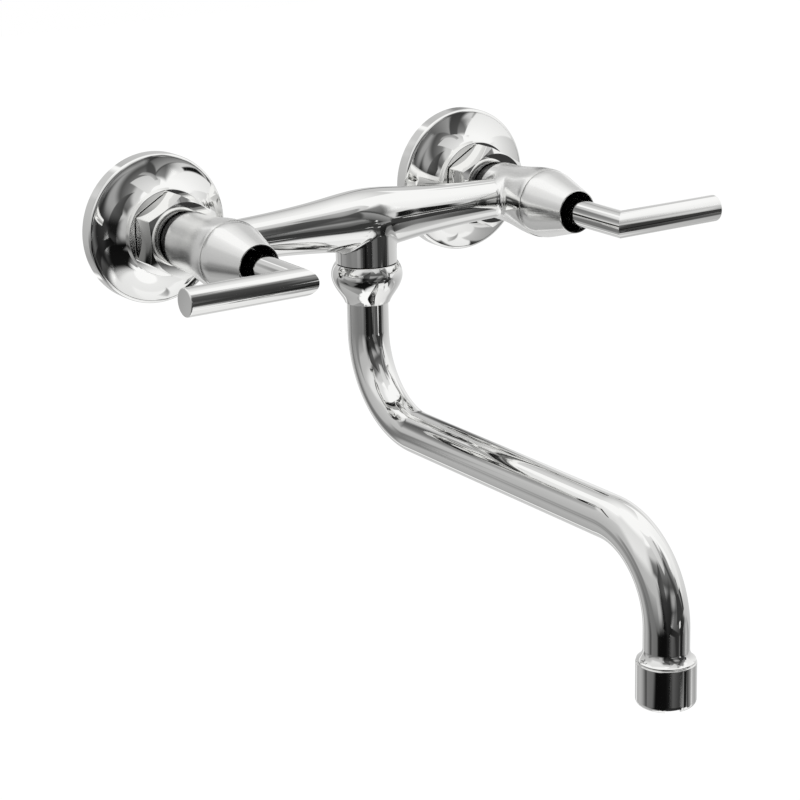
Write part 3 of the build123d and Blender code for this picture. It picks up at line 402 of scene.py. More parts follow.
# ---------------------------------------------------------------- finishes
def add(tree, kind, links=None, inputs=None, **settings):
    """Adds a node, sets its properties and input values, and links what feeds it."""
    node = tree.nodes.new(kind)
    for key, value in settings.items():
        setattr(node, key, value)
    for key, value in (inputs or {}).items():
        node.inputs[key].default_value = value
    for key, source in (links or {}).items():
        tree.links.new(source, node.inputs[key])
    return node


def effect_group(name, amounts):
    """A new effect group that takes a tint and the named amounts, with its input node and the
    place on the piece.
    """
    group = bpy.data.node_groups.new(name, "ShaderNodeTree")
    group.interface.new_socket("Tint", in_out="INPUT", socket_type="NodeSocketColor")
    for label, value in amounts.items():
        socket = group.interface.new_socket(label, in_out="INPUT", socket_type="NodeSocketFloat")
        socket.default_value = value
    for label, kind in (("Color", "Color"), ("Roughness", "Float"), ("Height", "Float")):
        group.interface.new_socket(label, in_out="OUTPUT", socket_type=f"NodeSocket{kind}")
    here = add(group, "ShaderNodeTexCoord").outputs["Object"]
    return group, group.nodes.new("NodeGroupInput"), here


def darkened(group, given, noise, amount, top):
    """The group's tint, scaled by top less the noise times the amount."""
    shade = add(group, "ShaderNodeMath", {0: noise.outputs["Fac"], 1: given.outputs[amount]},
                operation="MULTIPLY")
    keep = add(group, "ShaderNodeMath", {1: shade.outputs[0]}, {0: top}, operation="SUBTRACT")
    return add(group, "ShaderNodeVectorMath", {0: given.outputs["Tint"], "Scale": keep.outputs[0]},
               operation="SCALE")


def stretched(group, noise, *limits):
    """The noise, stretched from the first two limits to the last two."""
    limits = dict(zip(("From Min", "From Max", "To Min", "To Max"), limits))
    return add(group, "ShaderNodeMapRange", {"Value": noise.outputs["Fac"]}, limits)


def put_out(group, color, roughness, height):
    """Links the results to the group's output node, and gives back the group."""
    out = group.nodes.new("NodeGroupOutput")
    for label, source in (("Color", color), ("Roughness", roughness), ("Height", height)):
        group.links.new(source.outputs[0], out.inputs[label])
    return group


def polish_group():
    """Polished plate: faint buffing haze, clouding and a very slight waviness."""
    made = bpy.data.node_groups.get("polished plate")
    if made:
        return made
    group, given, here = effect_group("polished plate",
                                      {"Haze": 0.03, "Clouding": 0.03, "Satin": 0.0})
    cloud, buffing, wave = (
        add(group, "ShaderNodeTexNoise", {"Vector": here}, {"Scale": scale, "Detail": detail})
        for scale, detail in ((45.0, 3.0), (300.0, 2.0), (55.0, 0.0)))
    color = darkened(group, given, cloud, "Clouding", 1.0)
    spread = stretched(group, buffing, 0.3, 0.75, 0.7, 1.6)
    rough = add(group, "ShaderNodeMath", {0: given.outputs["Haze"], 1: spread.outputs[0],
                                          2: given.outputs["Satin"]}, operation="MULTIPLY_ADD")
    return put_out(group, color, rough, wave)


def surface_group():
    """Grain of a machined or moulded piece: mottled colour, uneven sheen and fine relief."""
    made = bpy.data.node_groups.get("worked surface")
    if made:
        return made
    group, given, here = effect_group("worked surface",
                                      {"Mottling": 0.15, "Sheen": 0.4, "Grain": 900.0})
    patch = add(group, "ShaderNodeTexNoise", {"Vector": here}, {"Scale": 160.0, "Detail": 4.0})
    grain = add(group, "ShaderNodeTexNoise", {"Vector": here, "Scale": given.outputs["Grain"]},
                {"Detail": 2.0})
    color = darkened(group, given, patch, "Mottling", 1.08)
    spread = stretched(group, grain, 0.3, 0.7, 0.8, 1.25)
    rough = add(group, "ShaderNodeMath", {0: given.outputs["Sheen"], 1: spread.outputs[0]},
                operation="MULTIPLY")
    return put_out(group, color, rough, grain)


def finish(name, group, values, metallic=0.0, relief=0.1, depth=0.0001):
    """A material whose colour, roughness and relief come from one of the shared groups."""
    made = bpy.data.materials.get(name)
    if made:
        return made
    material = bpy.data.materials.new(name)
    material.use_nodes = True
    tree = material.node_tree
    shader = tree.nodes["Principled BSDF"]
    shader.inputs["Metallic"].default_value = metallic
    effect = add(tree, "ShaderNodeGroup", None, None, node_tree=group)
    for key, value in values.items():
        effect.inputs[key].default_value = value
    bump = add(tree, "ShaderNodeBump", {"Height": effect.outputs["Height"]},
               {"Strength": relief, "Distance": depth})
    tree.links.new(effect.outputs["Color"], shader.inputs["Base Color"])
    tree.links.new(effect.outputs["Roughness"], shader.inputs["Roughness"])
    tree.links.new(bump.outputs[0], shader.inputs["Normal"])
    return material


def chrome(name="chrome plate", satin=0.0):
    """Chrome plate, polished or satin."""
    finishes = bpy.context.scene.faucet_finishes
    return finish(name, polish_group(), {"Tint": (*finishes.chrome, 1), "Haze": finishes.haze,
                                         "Clouding": 0.03, "Satin": satin * finishes.satin},
                  metallic=1.0, relief=0.12, depth=0.00015)


def cast_chrome():
    """Chrome plate of the cast body: a polished crossbar, and satin where the mesh's mask is."""
    material = chrome("cast chrome plate")
    tree = material.node_tree
    effect = next(node for node in tree.nodes if node.bl_idname == "ShaderNodeGroup")
    mask = add(tree, "ShaderNodeAttribute", attribute_name="satin")
    share = add(tree, "ShaderNodeMath", {0: mask.outputs["Fac"]},
                {1: bpy.context.scene.faucet_finishes.satin}, operation="MULTIPLY")
    tree.links.new(share.outputs[0], effect.inputs["Satin"])
    return material


def worked(name, color, mottling, sheen, grain, metallic=0.0, relief=0.2):
    """A machined or moulded finish."""
    return finish(name, surface_group(),
                  {"Tint": (*color, 1), "Mottling": mottling, "Sheen": sheen, "Grain": grain},
                  metallic, relief, 0.00008)


def insert_plastic():
    """Moulded plastic of the aerator's insert."""
    return worked("insert plastic", bpy.context.scene.faucet_finishes.insert_plastic,
                  0.2, 0.42, 1000.0)


# ---------------------------------------------------------------- pieces
class Step:
    """What every step of the build shares."""
    bl_options = {"REGISTER", "UNDO"}

    @staticmethod
    def valves(context):
        """Side name, sign, and where each valve axis meets the wall face."""
        half = context.scene.faucet_sizes.inlet_spacing / 2
        return [(name, sign, (sign * half, 0.0, 0.0)) for name, sign in SIDES]


class FAUCET_OT_wall_flanges(Step, bpy.types.Operator):
    """Pressed bell flanges that cover the holes in the wall"""
    bl_idname = "faucet.wall_flanges"
    bl_label = "Wall flanges"

    def execute(self, context):
        radius = context.scene.faucet_sizes.flange_radius
        rim, edge, sheet = mm(6.5, 1.4, 1.0)
        collar, foot, front = mm(17.9, 12.5, 15.7)
        hole, lip, sag = mm(13.2, 0.4, 1.15)
        bell_start, bell_end = (radius - edge, rim), (collar, foot)
        bell_middle = ((bell_start[0] + collar) / 2, (rim + foot) / 2 - sag)
        inner_end, inner_start = (radius - edge, rim - sheet), (collar - sheet, foot - sheet)
        inner_middle = (bell_middle[0] - sheet / 2, bell_middle[1] - sheet)
        outside = bulge_through(bell_start, bell_middle, bell_end)
        inside = bulge_through(inner_start, inner_middle, inner_end)
        section = closed(
            wall((radius, 0), (radius, rim - edge)),
            rounding((radius, rim - edge), bell_start),
            rounding(bell_start, bell_end, outside, 24),
            wall(bell_end, (collar, front - lip)),
            rounding((collar, front - lip), (collar - lip, front)),
            wall((collar - lip, front), (hole, front), (hole, front - sheet),
                 (collar - sheet, front - sheet), inner_start),
            rounding(inner_start, inner_end, inside, 16),
            wall(inner_end, (radius - sheet, rim - edge), (radius - sheet, 0)),
        )
        for side, _, origin in self.valves(context):
            turned(section, origin, OUT, 256).show(
                f"flange_{side}", "mixer", f"wall_flange_{side}", "chrome", chrome())
        return {"FINISHED"}


class FAUCET_OT_wall_legs(Step, bpy.types.Operator):
    """Threaded legs that screw into the fittings in the wall"""
    bl_idname = "faucet.wall_legs"
    bl_label = "Wall legs"

    def execute(self, context):
        major, pitch, deep, lead, run_out = mm(10.48, 1.814, 1.0, 1.0, 1)
        back, shoulder, front = mm(-18.0, 3.0, 21.5)
        bore, collar = mm(6.0, 13.15)
        around, rows = 96, 150
        root, flank = 0.14, 0.72    # flat root and the two flanks, as shares of the pitch
        along, side, other = axes_of(OUT)
        angle = np.linspace(0, 2 * math.pi, around, endpoint=False)
        radial = np.cos(angle)[:, None] * side + np.sin(angle)[:, None] * other
        reach = np.linspace(back, shoulder, rows)
        turn = (reach[:, None] / pitch - angle / (2 * math.pi)) % 1
        groove = 1 - np.clip((np.abs(2 * turn - 1) - root) / flank, 0, 1)
        fade = np.clip((shoulder - run_out - reach) / pitch, 0, 1)[:, None]
        radius = np.minimum(major - deep * groove * fade,
                            major - lead / 2 + (reach[:, None] - back) / 2)
        rise = np.gradient(radius, reach, axis=0)
        swing = (np.roll(radius, -1, 1) - np.roll(radius, 1, 1)) / (4 * math.pi / around)
        round_way = np.cross(along, radial)
        for name, _, origin in self.valves(context):
            skin = Skin()
            rings, normals = [], []
            for i in range(rows):
                spots = np.array(origin) + along * reach[i] + radial * radius[i][:, None]
                rings.append(skin.ring(spots))
                normals.append(radial - along * rise[i][:, None]
                               - round_way * (swing[i] / radius[i])[:, None])
            for i in range(rows - 1):
                skin.band(rings[i], rings[i + 1], normals[i], normals[i + 1])
            flat_back, flat_out = np.tile(-along, (around, 1)), np.tile(along, (around, 1))
            stations = [(collar, shoulder), (collar, front), (bore, front), (bore, back)]
            last = rings[-1]
            for (r, s), normal in zip(stations, (flat_back, radial, flat_out, -radial)):
                ring = skin.ring(np.array(origin) + along * s + radial * r)
                skin.band(last, ring, normal, normal)
                last = ring
            skin.band(last, rings[0], flat_back, flat_back)
            skin.show(f"leg_{name}", "mixer", f"wall_leg_{name}", "chrome", chrome())
        return {"FINISHED"}


class FAUCET_OT_union_nuts(Step, bpy.types.Operator):
    """Hexagon union nuts with turned chamfers"""
    bl_idname = "faucet.union_nuts"
    bl_label = "Union nuts"

    def execute(self, context):
        half = context.scene.faucet_sizes.nut_flats / 2
        back, front, shoulder = mm(16.3, 28.8, 26.0)
        back_round, front_round = mm(16.05, 14.9)
        thread, mouth, chamfer, corner = mm(13.2, 10.9, 0.6, 0.5)
        edge, fine = mm(0.15, 0.04)
        slope = 0.577    # chamfers rise 30 degrees
        flat_spots, corner_turns = 17, (12, 24, 36, 48)
        spots, ways = [], []
        for k in range(6):
            middle = math.radians(60 * k)
            way = np.array((math.cos(middle), math.sin(middle)))
            across = np.array((-way[1], way[0]))
            run = (half - corner) * math.tan(math.radians(30))
            for t in np.linspace(-run, run, flat_spots):
                spots.append(way * half + across * t)
                ways.append(way)
            centre = way * (half - corner) + across * run
            for t in corner_turns:
                turn = middle + math.radians(t)
                ways.append(np.array((math.cos(turn), math.sin(turn))))
                spots.append(centre + corner * ways[-1])
        along, side, other = axes_of(OUT)
        spots, ways = np.array(spots), np.array(ways)
        reach = np.linalg.norm(spots, axis=1)
        spoke = (spots / reach[:, None]) @ np.array((side, other))
        flat = ways @ np.array((side, other))
        every = np.ones(len(spots))
        lean = 1 / math.hypot(slope, 1)
        outward, inward = np.tile(along, (len(spots), 1)), np.tile(-along, (len(spots), 1))
        front_cone = spoke * slope * lean + along * lean
        back_cone = np.where((reach > back_round)[:, None],
                             spoke * slope * lean - along * lean, inward)
        mouth_cone = (outward - spoke) / math.sqrt(2)
        back_edge = back + slope * np.maximum(reach - back_round, 0)
        front_edge = front - slope * (reach - front_round)
        # rings as (radius, place along the axis, normals at the start and the end of the next band)
        stations = [
            (every * thread, every * back, inward, inward),
            (np.minimum(reach, back_round) - 2 * edge, every * back, inward, back_cone),
            (reach - edge, np.maximum(back_edge - slope * edge, back), back_cone, flat),
            (reach, back_edge + edge, flat, flat),
            (reach, front_edge - fine, flat, front_cone),
            (reach - fine, front_edge + slope * fine, front_cone, front_cone),
            (every * (front_round + fine), every * (front - slope * fine), front_cone, outward),
            (every * (front_round - fine), every * front, outward, outward),
            (every * (mouth + chamfer), every * front, mouth_cone, mouth_cone),
            (every * mouth, every * (front - chamfer), -spoke, -spoke),
            (every * mouth, every * shoulder, inward, inward),
            (every * thread, every * shoulder, -spoke, -spoke),
        ]
        for name, _, origin in self.valves(context):
            skin = Skin()
            rings = [skin.ring(np.array(origin) + along * s[:, None] + spoke * r[:, None])
                     for r, s, _, _ in stations]
            for i, (_, _, low, high) in enumerate(stations):
                skin.band(rings[i], rings[(i + 1) % len(rings)], low, high)
            skin.show(f"union_nut_ring_{name}", "mixer", f"union_nut_{name}", "chrome", chrome())
        return {"FINISHED"}


class FAUCET_OT_inlet_tails(Step, bpy.types.Operator):
    """Tails between the union nuts and the mixer body"""
    bl_idname = "faucet.inlet_tails"
    bl_label = "Inlet tails"

    def execute(self, context):
        bore, flange, neck, thread = mm(5.5, 12.2, 10.6, 9.0)
        back, shoulder, body, end = mm(23.5, 26.0, 33.0, 38.4)
        section = closed(wall((bore, back), (flange, back), (flange, shoulder), (neck, shoulder),
                              (neck, body), (thread, body), (thread, end), (bore, end)))
        # the tails' dark tint is painted shade for the gap between the union nut and the body
        tail_shade = worked("tail painted shade", context.scene.faucet_finishes.tail, 0.3, 0.22, 700.0, 1.0)
        for side, _, origin in self.valves(context):
            turned(section, origin, OUT, 128).show(
                f"tail_{side}", "mixer", f"inlet_tail_{side}", "chrome", tail_shade)
        return {"FINISHED"}


class FAUCET_OT_casting(Step, bpy.types.Operator):
    """Cast mixer body: two valve barrels, the crossbar and the neck, with cast fillets"""
    bl_idname = "faucet.casting"
    bl_label = "Mixer body"

    def execute(self, context):
        sizes = context.scene.faucet_sizes
        half, reach, cell = sizes.inlet_spacing / 2, sizes.body_reach, sizes.casting_cell
        back, front, belly = mm(33.0, 66.3, 64.0)
        barrel, middle, swell, mouth, flare = mm(12.0, 12.75, 14.35, 14.1, 38.0)
        neck, neck_end, edge = mm(12.5, -17.4, 2)
        back_edge, bar_fillet, neck_fillet = mm(1.5, 2.5, 0.8)
        tail_end, port_end, chamber_end, bar_end, socket_top = mm(38.4, 42, 57.5, 67.5, -11.5)
        tail_bore, port, chamber_bore, gland_bore = mm(9.05, 5, 10, 10.45)
        bar_bore, tee_bore, socket_bore = mm(5, 4.5, 8.45)
        outline = flowing([(barrel, flare), (middle, 50.0 * MM), (swell, belly)],
                          (0, 1), (0.02, 1), 60)[0][0]
        lip = rounding((swell, belly), (mouth, front + 1 * MM), 0.05, 20)[0][0]
        outline = np.concatenate((((barrel, 0.0),), outline, lip[1:], ((mouth - 0.2 * MM, 0.08),)))
        waist = flowing([mm(0, 12.6), mm(20, 10.9), mm(43, 9.0), mm(70, 8.05)],
                        (1, 0), (1, -0.02), 60)[0][0]

        def measured(x, y, z):
            """Distance aside and out, and from the axes of valve, crossbar and neck."""
            side, out = np.abs(x), -y
            return (side, out, np.hypot(side - half, z), np.hypot(out - reach, z),
                    np.hypot(x, out - reach))

        def casting(x, y, z):
            """The casting before it is bored."""
            side, out, from_valve, from_bar, from_tee = measured(x, y, z)
            valve = from_valve - np.interp(out, outline[:, 1], outline[:, 0])
            valve = rounded_cut(valve, back - out, back_edge)
            bar = np.maximum(from_bar - np.interp(side, waist[:, 0], waist[:, 1]), side - half)
            return blended(blended(valve, bar, bar_fillet), np.maximum(from_tee - neck, z),
                           neck_fillet)

        def hollowed(x, y, z):
            """The casting with its waterways."""
            side, out, from_valve, from_bar, from_tee = measured(x, y, z)
            chamber = from_valve - np.select(
                (out < tail_end, out < port_end, out < chamber_end),
                (tail_bore, port, chamber_bore), gland_bore)
            bore = np.maximum(from_bar - bar_bore, side - bar_end)
            tee = np.maximum(from_tee - np.where(z > socket_top, tee_bore, socket_bore), z)
            return np.maximum(casting(x, y, z), -np.minimum(np.minimum(chamber, bore), tee))

        low = (-half - swell - edge, -front - edge, neck_end - edge)
        high = (half + swell + edge, neck - reach + edge, swell + edge)
        points, faces = wrapped(hollowed, low, high, cell)
        shape = bmesh.new()
        corners = [shape.verts.new(p) for p in points]
        for face in faces:
            shape.faces.new([corners[i] for i in face])
        for spot, way in (((0, -front, 0), (0, -1, 0)), ((0, 0, neck_end), (0, 0, -1))):
            whole = shape.verts[:] + shape.edges[:] + shape.faces[:]
            cut = bmesh.ops.bisect_plane(shape, geom=whole, plane_co=spot, plane_no=way,
                                         clear_outer=True, dist=1e-7)
            rim = [e for e in cut["geom_cut"] if isinstance(e, bmesh.types.BMEdge)]
            bmesh.ops.triangle_fill(shape, edges=rim, use_beauty=True, normal=way)
        mesh = bpy.data.meshes.new("mixer_casting")
        shape.to_mesh(mesh)
        shape.free()
        mesh.shade_smooth()
        spots = self.read(mesh.vertices, "co", 3)
        _, slopes = slope_of(hollowed, spots, cell * 0.05)
        face_normals = np.repeat(self.read(mesh.polygons, "normal", 3),
                                 self.read(mesh.polygons, "loop_total"), axis=0)
        normals = slopes[self.read(mesh.loops, "vertex_index")]
        normals /= np.maximum(np.linalg.norm(normals, axis=1), 1e-9)[:, None]
        # at a machined edge, the field's slope gives way to the face's own normal
        sharp = (normals * face_normals).sum(1) < 0.75
        normals[sharp] = face_normals[sharp]
        mesh.normals_split_custom_set(normals.tolist())
        satin_start, satin_fade = mm(60.5, 2.5)
        satin = np.clip((np.abs(spots[:, 0]) - satin_start) / satin_fade, 0, 1)
        paint(mesh, "satin", satin)
        place(bpy.data.objects.new("mixer_casting", mesh), "mixer", "mixer_body",
              cast_chrome())
        return {"FINISHED"}

    @staticmethod
    def read(items, key, width=1):
        """A mesh's vertices, faces or corners as numbers, width of them a row."""
        values = np.zeros(len(items) * width, float if width > 1 else int)
        items.foreach_get(key, values)
        return values.reshape(-1, width) if width > 1 else values


class FAUCET_OT_bonnets(Step, bpy.types.Operator):
    """Cone bonnets over the valve glands"""
    bl_idname = "faucet.bonnets"
    bl_label = "Bonnets"

    def execute(self, context):
        back, shoulder, front, collar = mm(66.4, 71.2, 87.0, 70.9)
        seat, mouth, wide, rim, bore = mm(12.05, 14.05, 13.35, 9.0, 8.45)
        edge, lip, deep, thick = mm(0.3, 0.4, 3.0, 1.6)
        cone = (rim - wide, front - shoulder)
        section = closed(
            wall((seat, back), (mouth - edge, back)),
            rounding((mouth - edge, back), (mouth, back + edge)),
            flowing([(mouth, back + edge), (wide, shoulder)], (0, 1), cone, 16),
            wall((wide, shoulder), (rim, front - lip)),
            rounding((rim, front - lip), (rim - lip / 2, front), 0.3),
            wall((rim - lip / 2, front), (bore, front), (bore, front - deep),
                 (wide - thick - 1 * MM, shoulder + 3 * MM), (wide - thick, shoulder),
                 (seat, collar)),
        )
        satin = chrome("satin chrome plate", 0.7)
        for side, _, origin in self.valves(context):
            turned(section, origin, OUT).show(
                f"bonnet_cone_{side}", "mixer", f"bonnet_{side}", "chrome", satin)
        return {"FINISHED"}


class FAUCET_OT_levers(Step, bpy.types.Operator):
    """Mitred rod levers, with the hole of the grub screw on the underside"""
    bl_idname = "faucet.levers"
    bl_label = "Levers"

    def execute(self, context):
        sizes = context.scene.faucet_sizes
        rod, elbow, tip = sizes.lever_rod, sizes.lever_reach, sizes.lever_length
        back, socket, socket_end, edge = mm(78.5, 3.65, 97.5, 0.5)
        screw_out, hole = mm(92.0, 2.0)
        around, spread, tip_steps = 96, 10, 7
        outs = [back] + [screw_out + k * MM for k in range(-3, 4)]
        end, wide = len(outs) - 1, 2 * spread
        # rows of the frame round the grub screw's hole, in which the rod's skin is left out
        rows = np.concatenate(([1] * wide, range(1, end), [end] * wide, range(end, 1, -1)))
        for name, sign, origin in self.valves(context):
            centre = np.array(origin)
            side_way, out_way, up_way = np.array(((-sign, 0, 0), OUT, (0, 0, 1)), float)
            angle = np.linspace(0, -2 * sign * math.pi, around, endpoint=False)
            wave, rise, zero = np.cos(angle), np.sin(angle), np.zeros(around)

            def way(side, out, up):
                return (np.multiply.outer(side, side_way) + np.multiply.outer(out, out_way)
                        + np.multiply.outer(up, up_way))

            def tube(radius, outs):
                return [skin.ring(centre + way(radius * wave, zero + out, radius * rise))
                        for out in outs]

            first, second = way(wave, zero, rise), way(zero, wave, rise)
            ahead, tipward = way(0, 1, 0), way(-1, 0, 0)
            # columns of that frame, and the columns of the skin that stay whole
            under = int(np.argmin(rise)) + np.arange(-spread, spread + 1)
            whole = np.delete(np.arange(around), under[:-1])
            columns = np.concatenate((under[:-1], [under[-1]] * (end - 1),
                                      under[:0:-1], [under[0]] * (end - 1)))
            skin = Skin()
            outer, inner = tube(rod, outs), tube(socket, outs + [socket_end])
            for i in range(len(outer) - 1):
                skin.band(outer[i], outer[i + 1], first, first, whole if i else None)
                skin.band(inner[i + 1], inner[i], -first, -first, whole if i else None)
            skin.band(inner[-1], inner[-2], -first, -first)
            skin.cap(range(inner[-1] + around - 1, inner[-1] - 1, -1), -ahead)
            skin.band(inner[0], outer[0], first * 0 - ahead, first * 0 - ahead)
            borders = [np.array(rings)[rows] + columns for rings in (outer, inner)]
            turn = np.arctan2(np.array(outs)[rows] - screw_out, rod * wave[columns])
            side, out = hole * np.cos(turn), hole * np.sin(turn)
            rims = []
            for radius in (rod, socket):
                lift = -np.sqrt(radius**2 - side**2)
                rims.append((skin.ring(centre + way(side, screw_out + out, lift)),
                             way(side, 0 * out, lift) / radius))
            inward = -way(side, out, 0 * side) / hole
            skin.band(borders[0], rims[0][0], first[columns], rims[0][1])
            skin.band(rims[0][0], rims[1][0], inward, inward)
            skin.band(rims[1][0], borders[1], -rims[1][1], -first[columns])
            mitre = skin.ring(centre + way(rod * wave, elbow + rod * wave, rod * rise))
            skin.band(outer[-1], mitre, first, first)
            last, last_way = mitre, second
            for t in np.linspace(0, math.pi / 2, tip_steps):
                radius = rod - edge + edge * math.cos(t)
                ring = skin.ring(centre + way(-tip + edge - edge * math.sin(t) + zero,
                                              elbow + radius * wave, radius * rise))
                now = second * math.cos(t) + tipward * math.sin(t)
                skin.band(last, ring, last_way, now)
                last, last_way = ring, now
            skin.cap(range(last, last + around), tipward)
            skin.show(f"lever_rod_{name}", f"{name}_handle", f"lever_{name}", "chrome", chrome())
        return {"FINISHED"}


class FAUCET_OT_spout_nut(Step, bpy.types.Operator):
    """Bell-shaped nut that holds the spout to the neck"""
    bl_idname = "faucet.spout_nut"
    bl_label = "Spout nut"

    def execute(self, context):
        sizes = context.scene.faucet_sizes
        top, belly, waist, bottom, ledge = mm(17.75, 22.4, 29.6, 34.3, 28.7)
        lip, swell, throat, foot = mm(13.05, 14.6, 11.95, 9.3)
        hole, thread, edge = sizes.spout_radius + 0.3 * MM, 11.55 * MM, 0.25 * MM
        section = closed(
            wall((thread, top), (lip - edge, top)),
            rounding((lip - edge, top), (lip, top + edge), 0.3, 4),
            flowing([(lip, top + edge), (swell, belly), (throat, waist), (foot, bottom - edge)],
                    (0.6, 0.8), (-0.35, 0.94), 24),
            rounding((foot, bottom - edge), (foot - edge, bottom)),
            wall((foot - edge, bottom), (hole, bottom), (hole, ledge), (thread, ledge)),
        )
        turned(section, (0, -sizes.body_reach, 0), DOWN, 256).show(
            "spout_nut_bell", "mixer", "spout_nut", "chrome", chrome())
        return {"FINISHED"}


class FAUCET_OT_spout_tube(Step, bpy.types.Operator):
    """Bent tube of the swan-neck spout"""
    bl_idname = "faucet.spout_tube"
    bl_label = "Spout tube"

    def execute(self, context):
        sizes = context.scene.faucet_sizes
        radius, sheet = sizes.spout_radius, 1.0 * MM
        top, drop, end = mm(-28.9, -46.0, -124.6)
        heel, toe = mm(35.9, 33.05)
        around, bend_steps = 128, 49
        run_z, run_start = drop - heel, -sizes.body_reach - heel
        run_end = run_start - sizes.spout_run
        bend = np.linspace(0, math.pi / 2, bend_steps)
        # the tube's axis in its plane, as ((y, z), how far it has turned from straight down)
        line = [((-sizes.body_reach, top), 0.0), ((-sizes.body_reach, drop), 0.0)]
        for t in bend[1:]:
            line.append(((run_start + heel * math.cos(t), drop - heel * math.sin(t)), t))
        for t in bend:
            line.append(((run_end - toe * math.sin(t), run_z - toe * (1 - math.cos(t))),
                         math.pi / 2 - t))
        line.append(((run_end - toe, end), 0.0))
        angle = np.linspace(0, 2 * math.pi, around, endpoint=False)
        skin = Skin()
        walls = []
        for wide, inner in ((radius, False), (radius - sheet, True)):
            rings = []
            for (y, z), t in line:
                # the section's first direction is +X, its second lies in the spout's plane
                second = np.array((0, math.cos(t), -math.sin(t)))
                way = (np.cos(angle)[:, None] * np.array((1.0, 0, 0))
                       - np.sin(angle)[:, None] * second)
                rings.append((skin.ring(np.array((0, y, z)) + wide * way), -way if inner else way))
            for (low, a), (high, b) in zip(rings, rings[1:]):
                if inner:
                    skin.band(high, low, b, a)
                else:
                    skin.band(low, high, a, b)
            walls.append(rings)
        (outer, inner), up = walls, np.tile((0, 0, 1.0), (around, 1))
        skin.band(inner[0][0], outer[0][0], up, up)
        skin.band(outer[-1][0], inner[-1][0], -up, -up)
        skin.show("spout_bent_tube", "spout", "spout_tube", "chrome", chrome())
        return {"FINISHED"}


class FAUCET_OT_outlet(Step, bpy.types.Operator):
    """Brazed outlet collar and the screwed shell of the aerator, with its coin slot"""
    bl_idname = "faucet.outlet"
    bl_label = "Outlet"

    def execute(self, context):
        sizes = context.scene.faucet_sizes
        tube, outlet = sizes.spout_radius, (0, -238.35 * MM, 0)
        flare, band, seam = mm(122.4, 126.3, 127.0)
        end, thread_end, thread = mm(124.6, 133.0, 9.95)
        wide, shell, bottom = mm(10.8, 11.1, 143.6)
        edge, lip_bore, lip_top, low_round = mm(0.5, 8.6, 141.2, 2.2)
        band_top, band_foot = (wide - 0.05 * MM, band), (wide - 0.2 * MM, seam)
        collar = closed(
            rounding((tube, flare), band_top, -0.25, 16),
            rounding(band_top, band_foot, 0.3),
            wall(band_foot, (thread, seam), (thread, thread_end), (tube - 1 * MM, thread_end),
                 (tube - 1 * MM, end), (tube, end)),
        )
        turned(collar, outlet, DOWN).show(
            "outlet_ring", "spout", "outlet_collar", "chrome", chrome())
        inner, cut, half_slot = thread + 0.05 * MM, 141.0 * MM, 2.9 * MM
        slot_turn = math.radians(-66)
        near = (wall((inner, cut), (inner, seam), (shell - edge, seam))
                + rounding((shell - edge, seam), (shell, seam + edge))
                + wall((shell, seam + edge), (shell, cut)))
        far = (wall((shell, cut), (shell, bottom - low_round))
               + rounding((shell, bottom - low_round), (shell - low_round, bottom), steps=10)
               + wall((shell - low_round, bottom), (lip_bore, bottom), (lip_bore, lip_top),
                      (inner, lip_top), (inner, cut)))
        slot_steps, land_steps = 8, 120

        def spread(radius):
            """Angles at a radius, the slot's two mouths first in each half turn."""
            half = math.asin(half_slot / radius)
            arc = np.concatenate((np.linspace(-half, half, slot_steps, endpoint=False),
                                  np.linspace(half, math.pi - half, land_steps, endpoint=False)))
            return slot_turn + np.concatenate((arc, arc + math.pi))

        steps = np.arange(2 * (slot_steps + land_steps))
        in_slot = steps % (slot_steps + land_steps) < slot_steps
        skin = turned(near, outlet, DOWN, spread=spread)
        turned(far, outlet, DOWN, skin=skin, spread=spread, steps=steps[~in_slot])
        along, side, other = axes_of(DOWN)
        places = [spot for run in far for spot in run[0][:-1]] + [(inner, cut)]
        profile = [skin.rings[spot_key(spot)] for spot in places]
        floor = np.tile(along, (len(steps), 1))
        skin.band(profile[0], profile[-1], floor, floor, steps[in_slot])
        across = side * -math.sin(slot_turn) + other * math.cos(slot_turn)
        for half, facing in ((0, -across), (1, across)):
            start = half * (slot_steps + land_steps) + slot_steps
            end = (start + land_steps) % len(steps)
            skin.cap([ring + start for ring in profile], facing)
            skin.cap([ring + end for ring in profile[::-1]], facing)
        skin.show("aerator_casing", "spout", "aerator_shell", "chrome", chrome())
        rim, low = lip_bore - 0.1 * MM, bottom - 0.2 * MM
        mouth, root, chamfer = mm(7.2, 141.6, 0.3)
        section = closed(wall((rim, root), (rim, low - chamfer), (rim - chamfer, low),
                              (mouth + chamfer, low), (mouth, low - chamfer), (mouth, root)))
        black = insert_plastic()
        turned(section, outlet, DOWN).show("insert_rim", "spout", None, "insert_plastic", black)
        return {"FINISHED"}


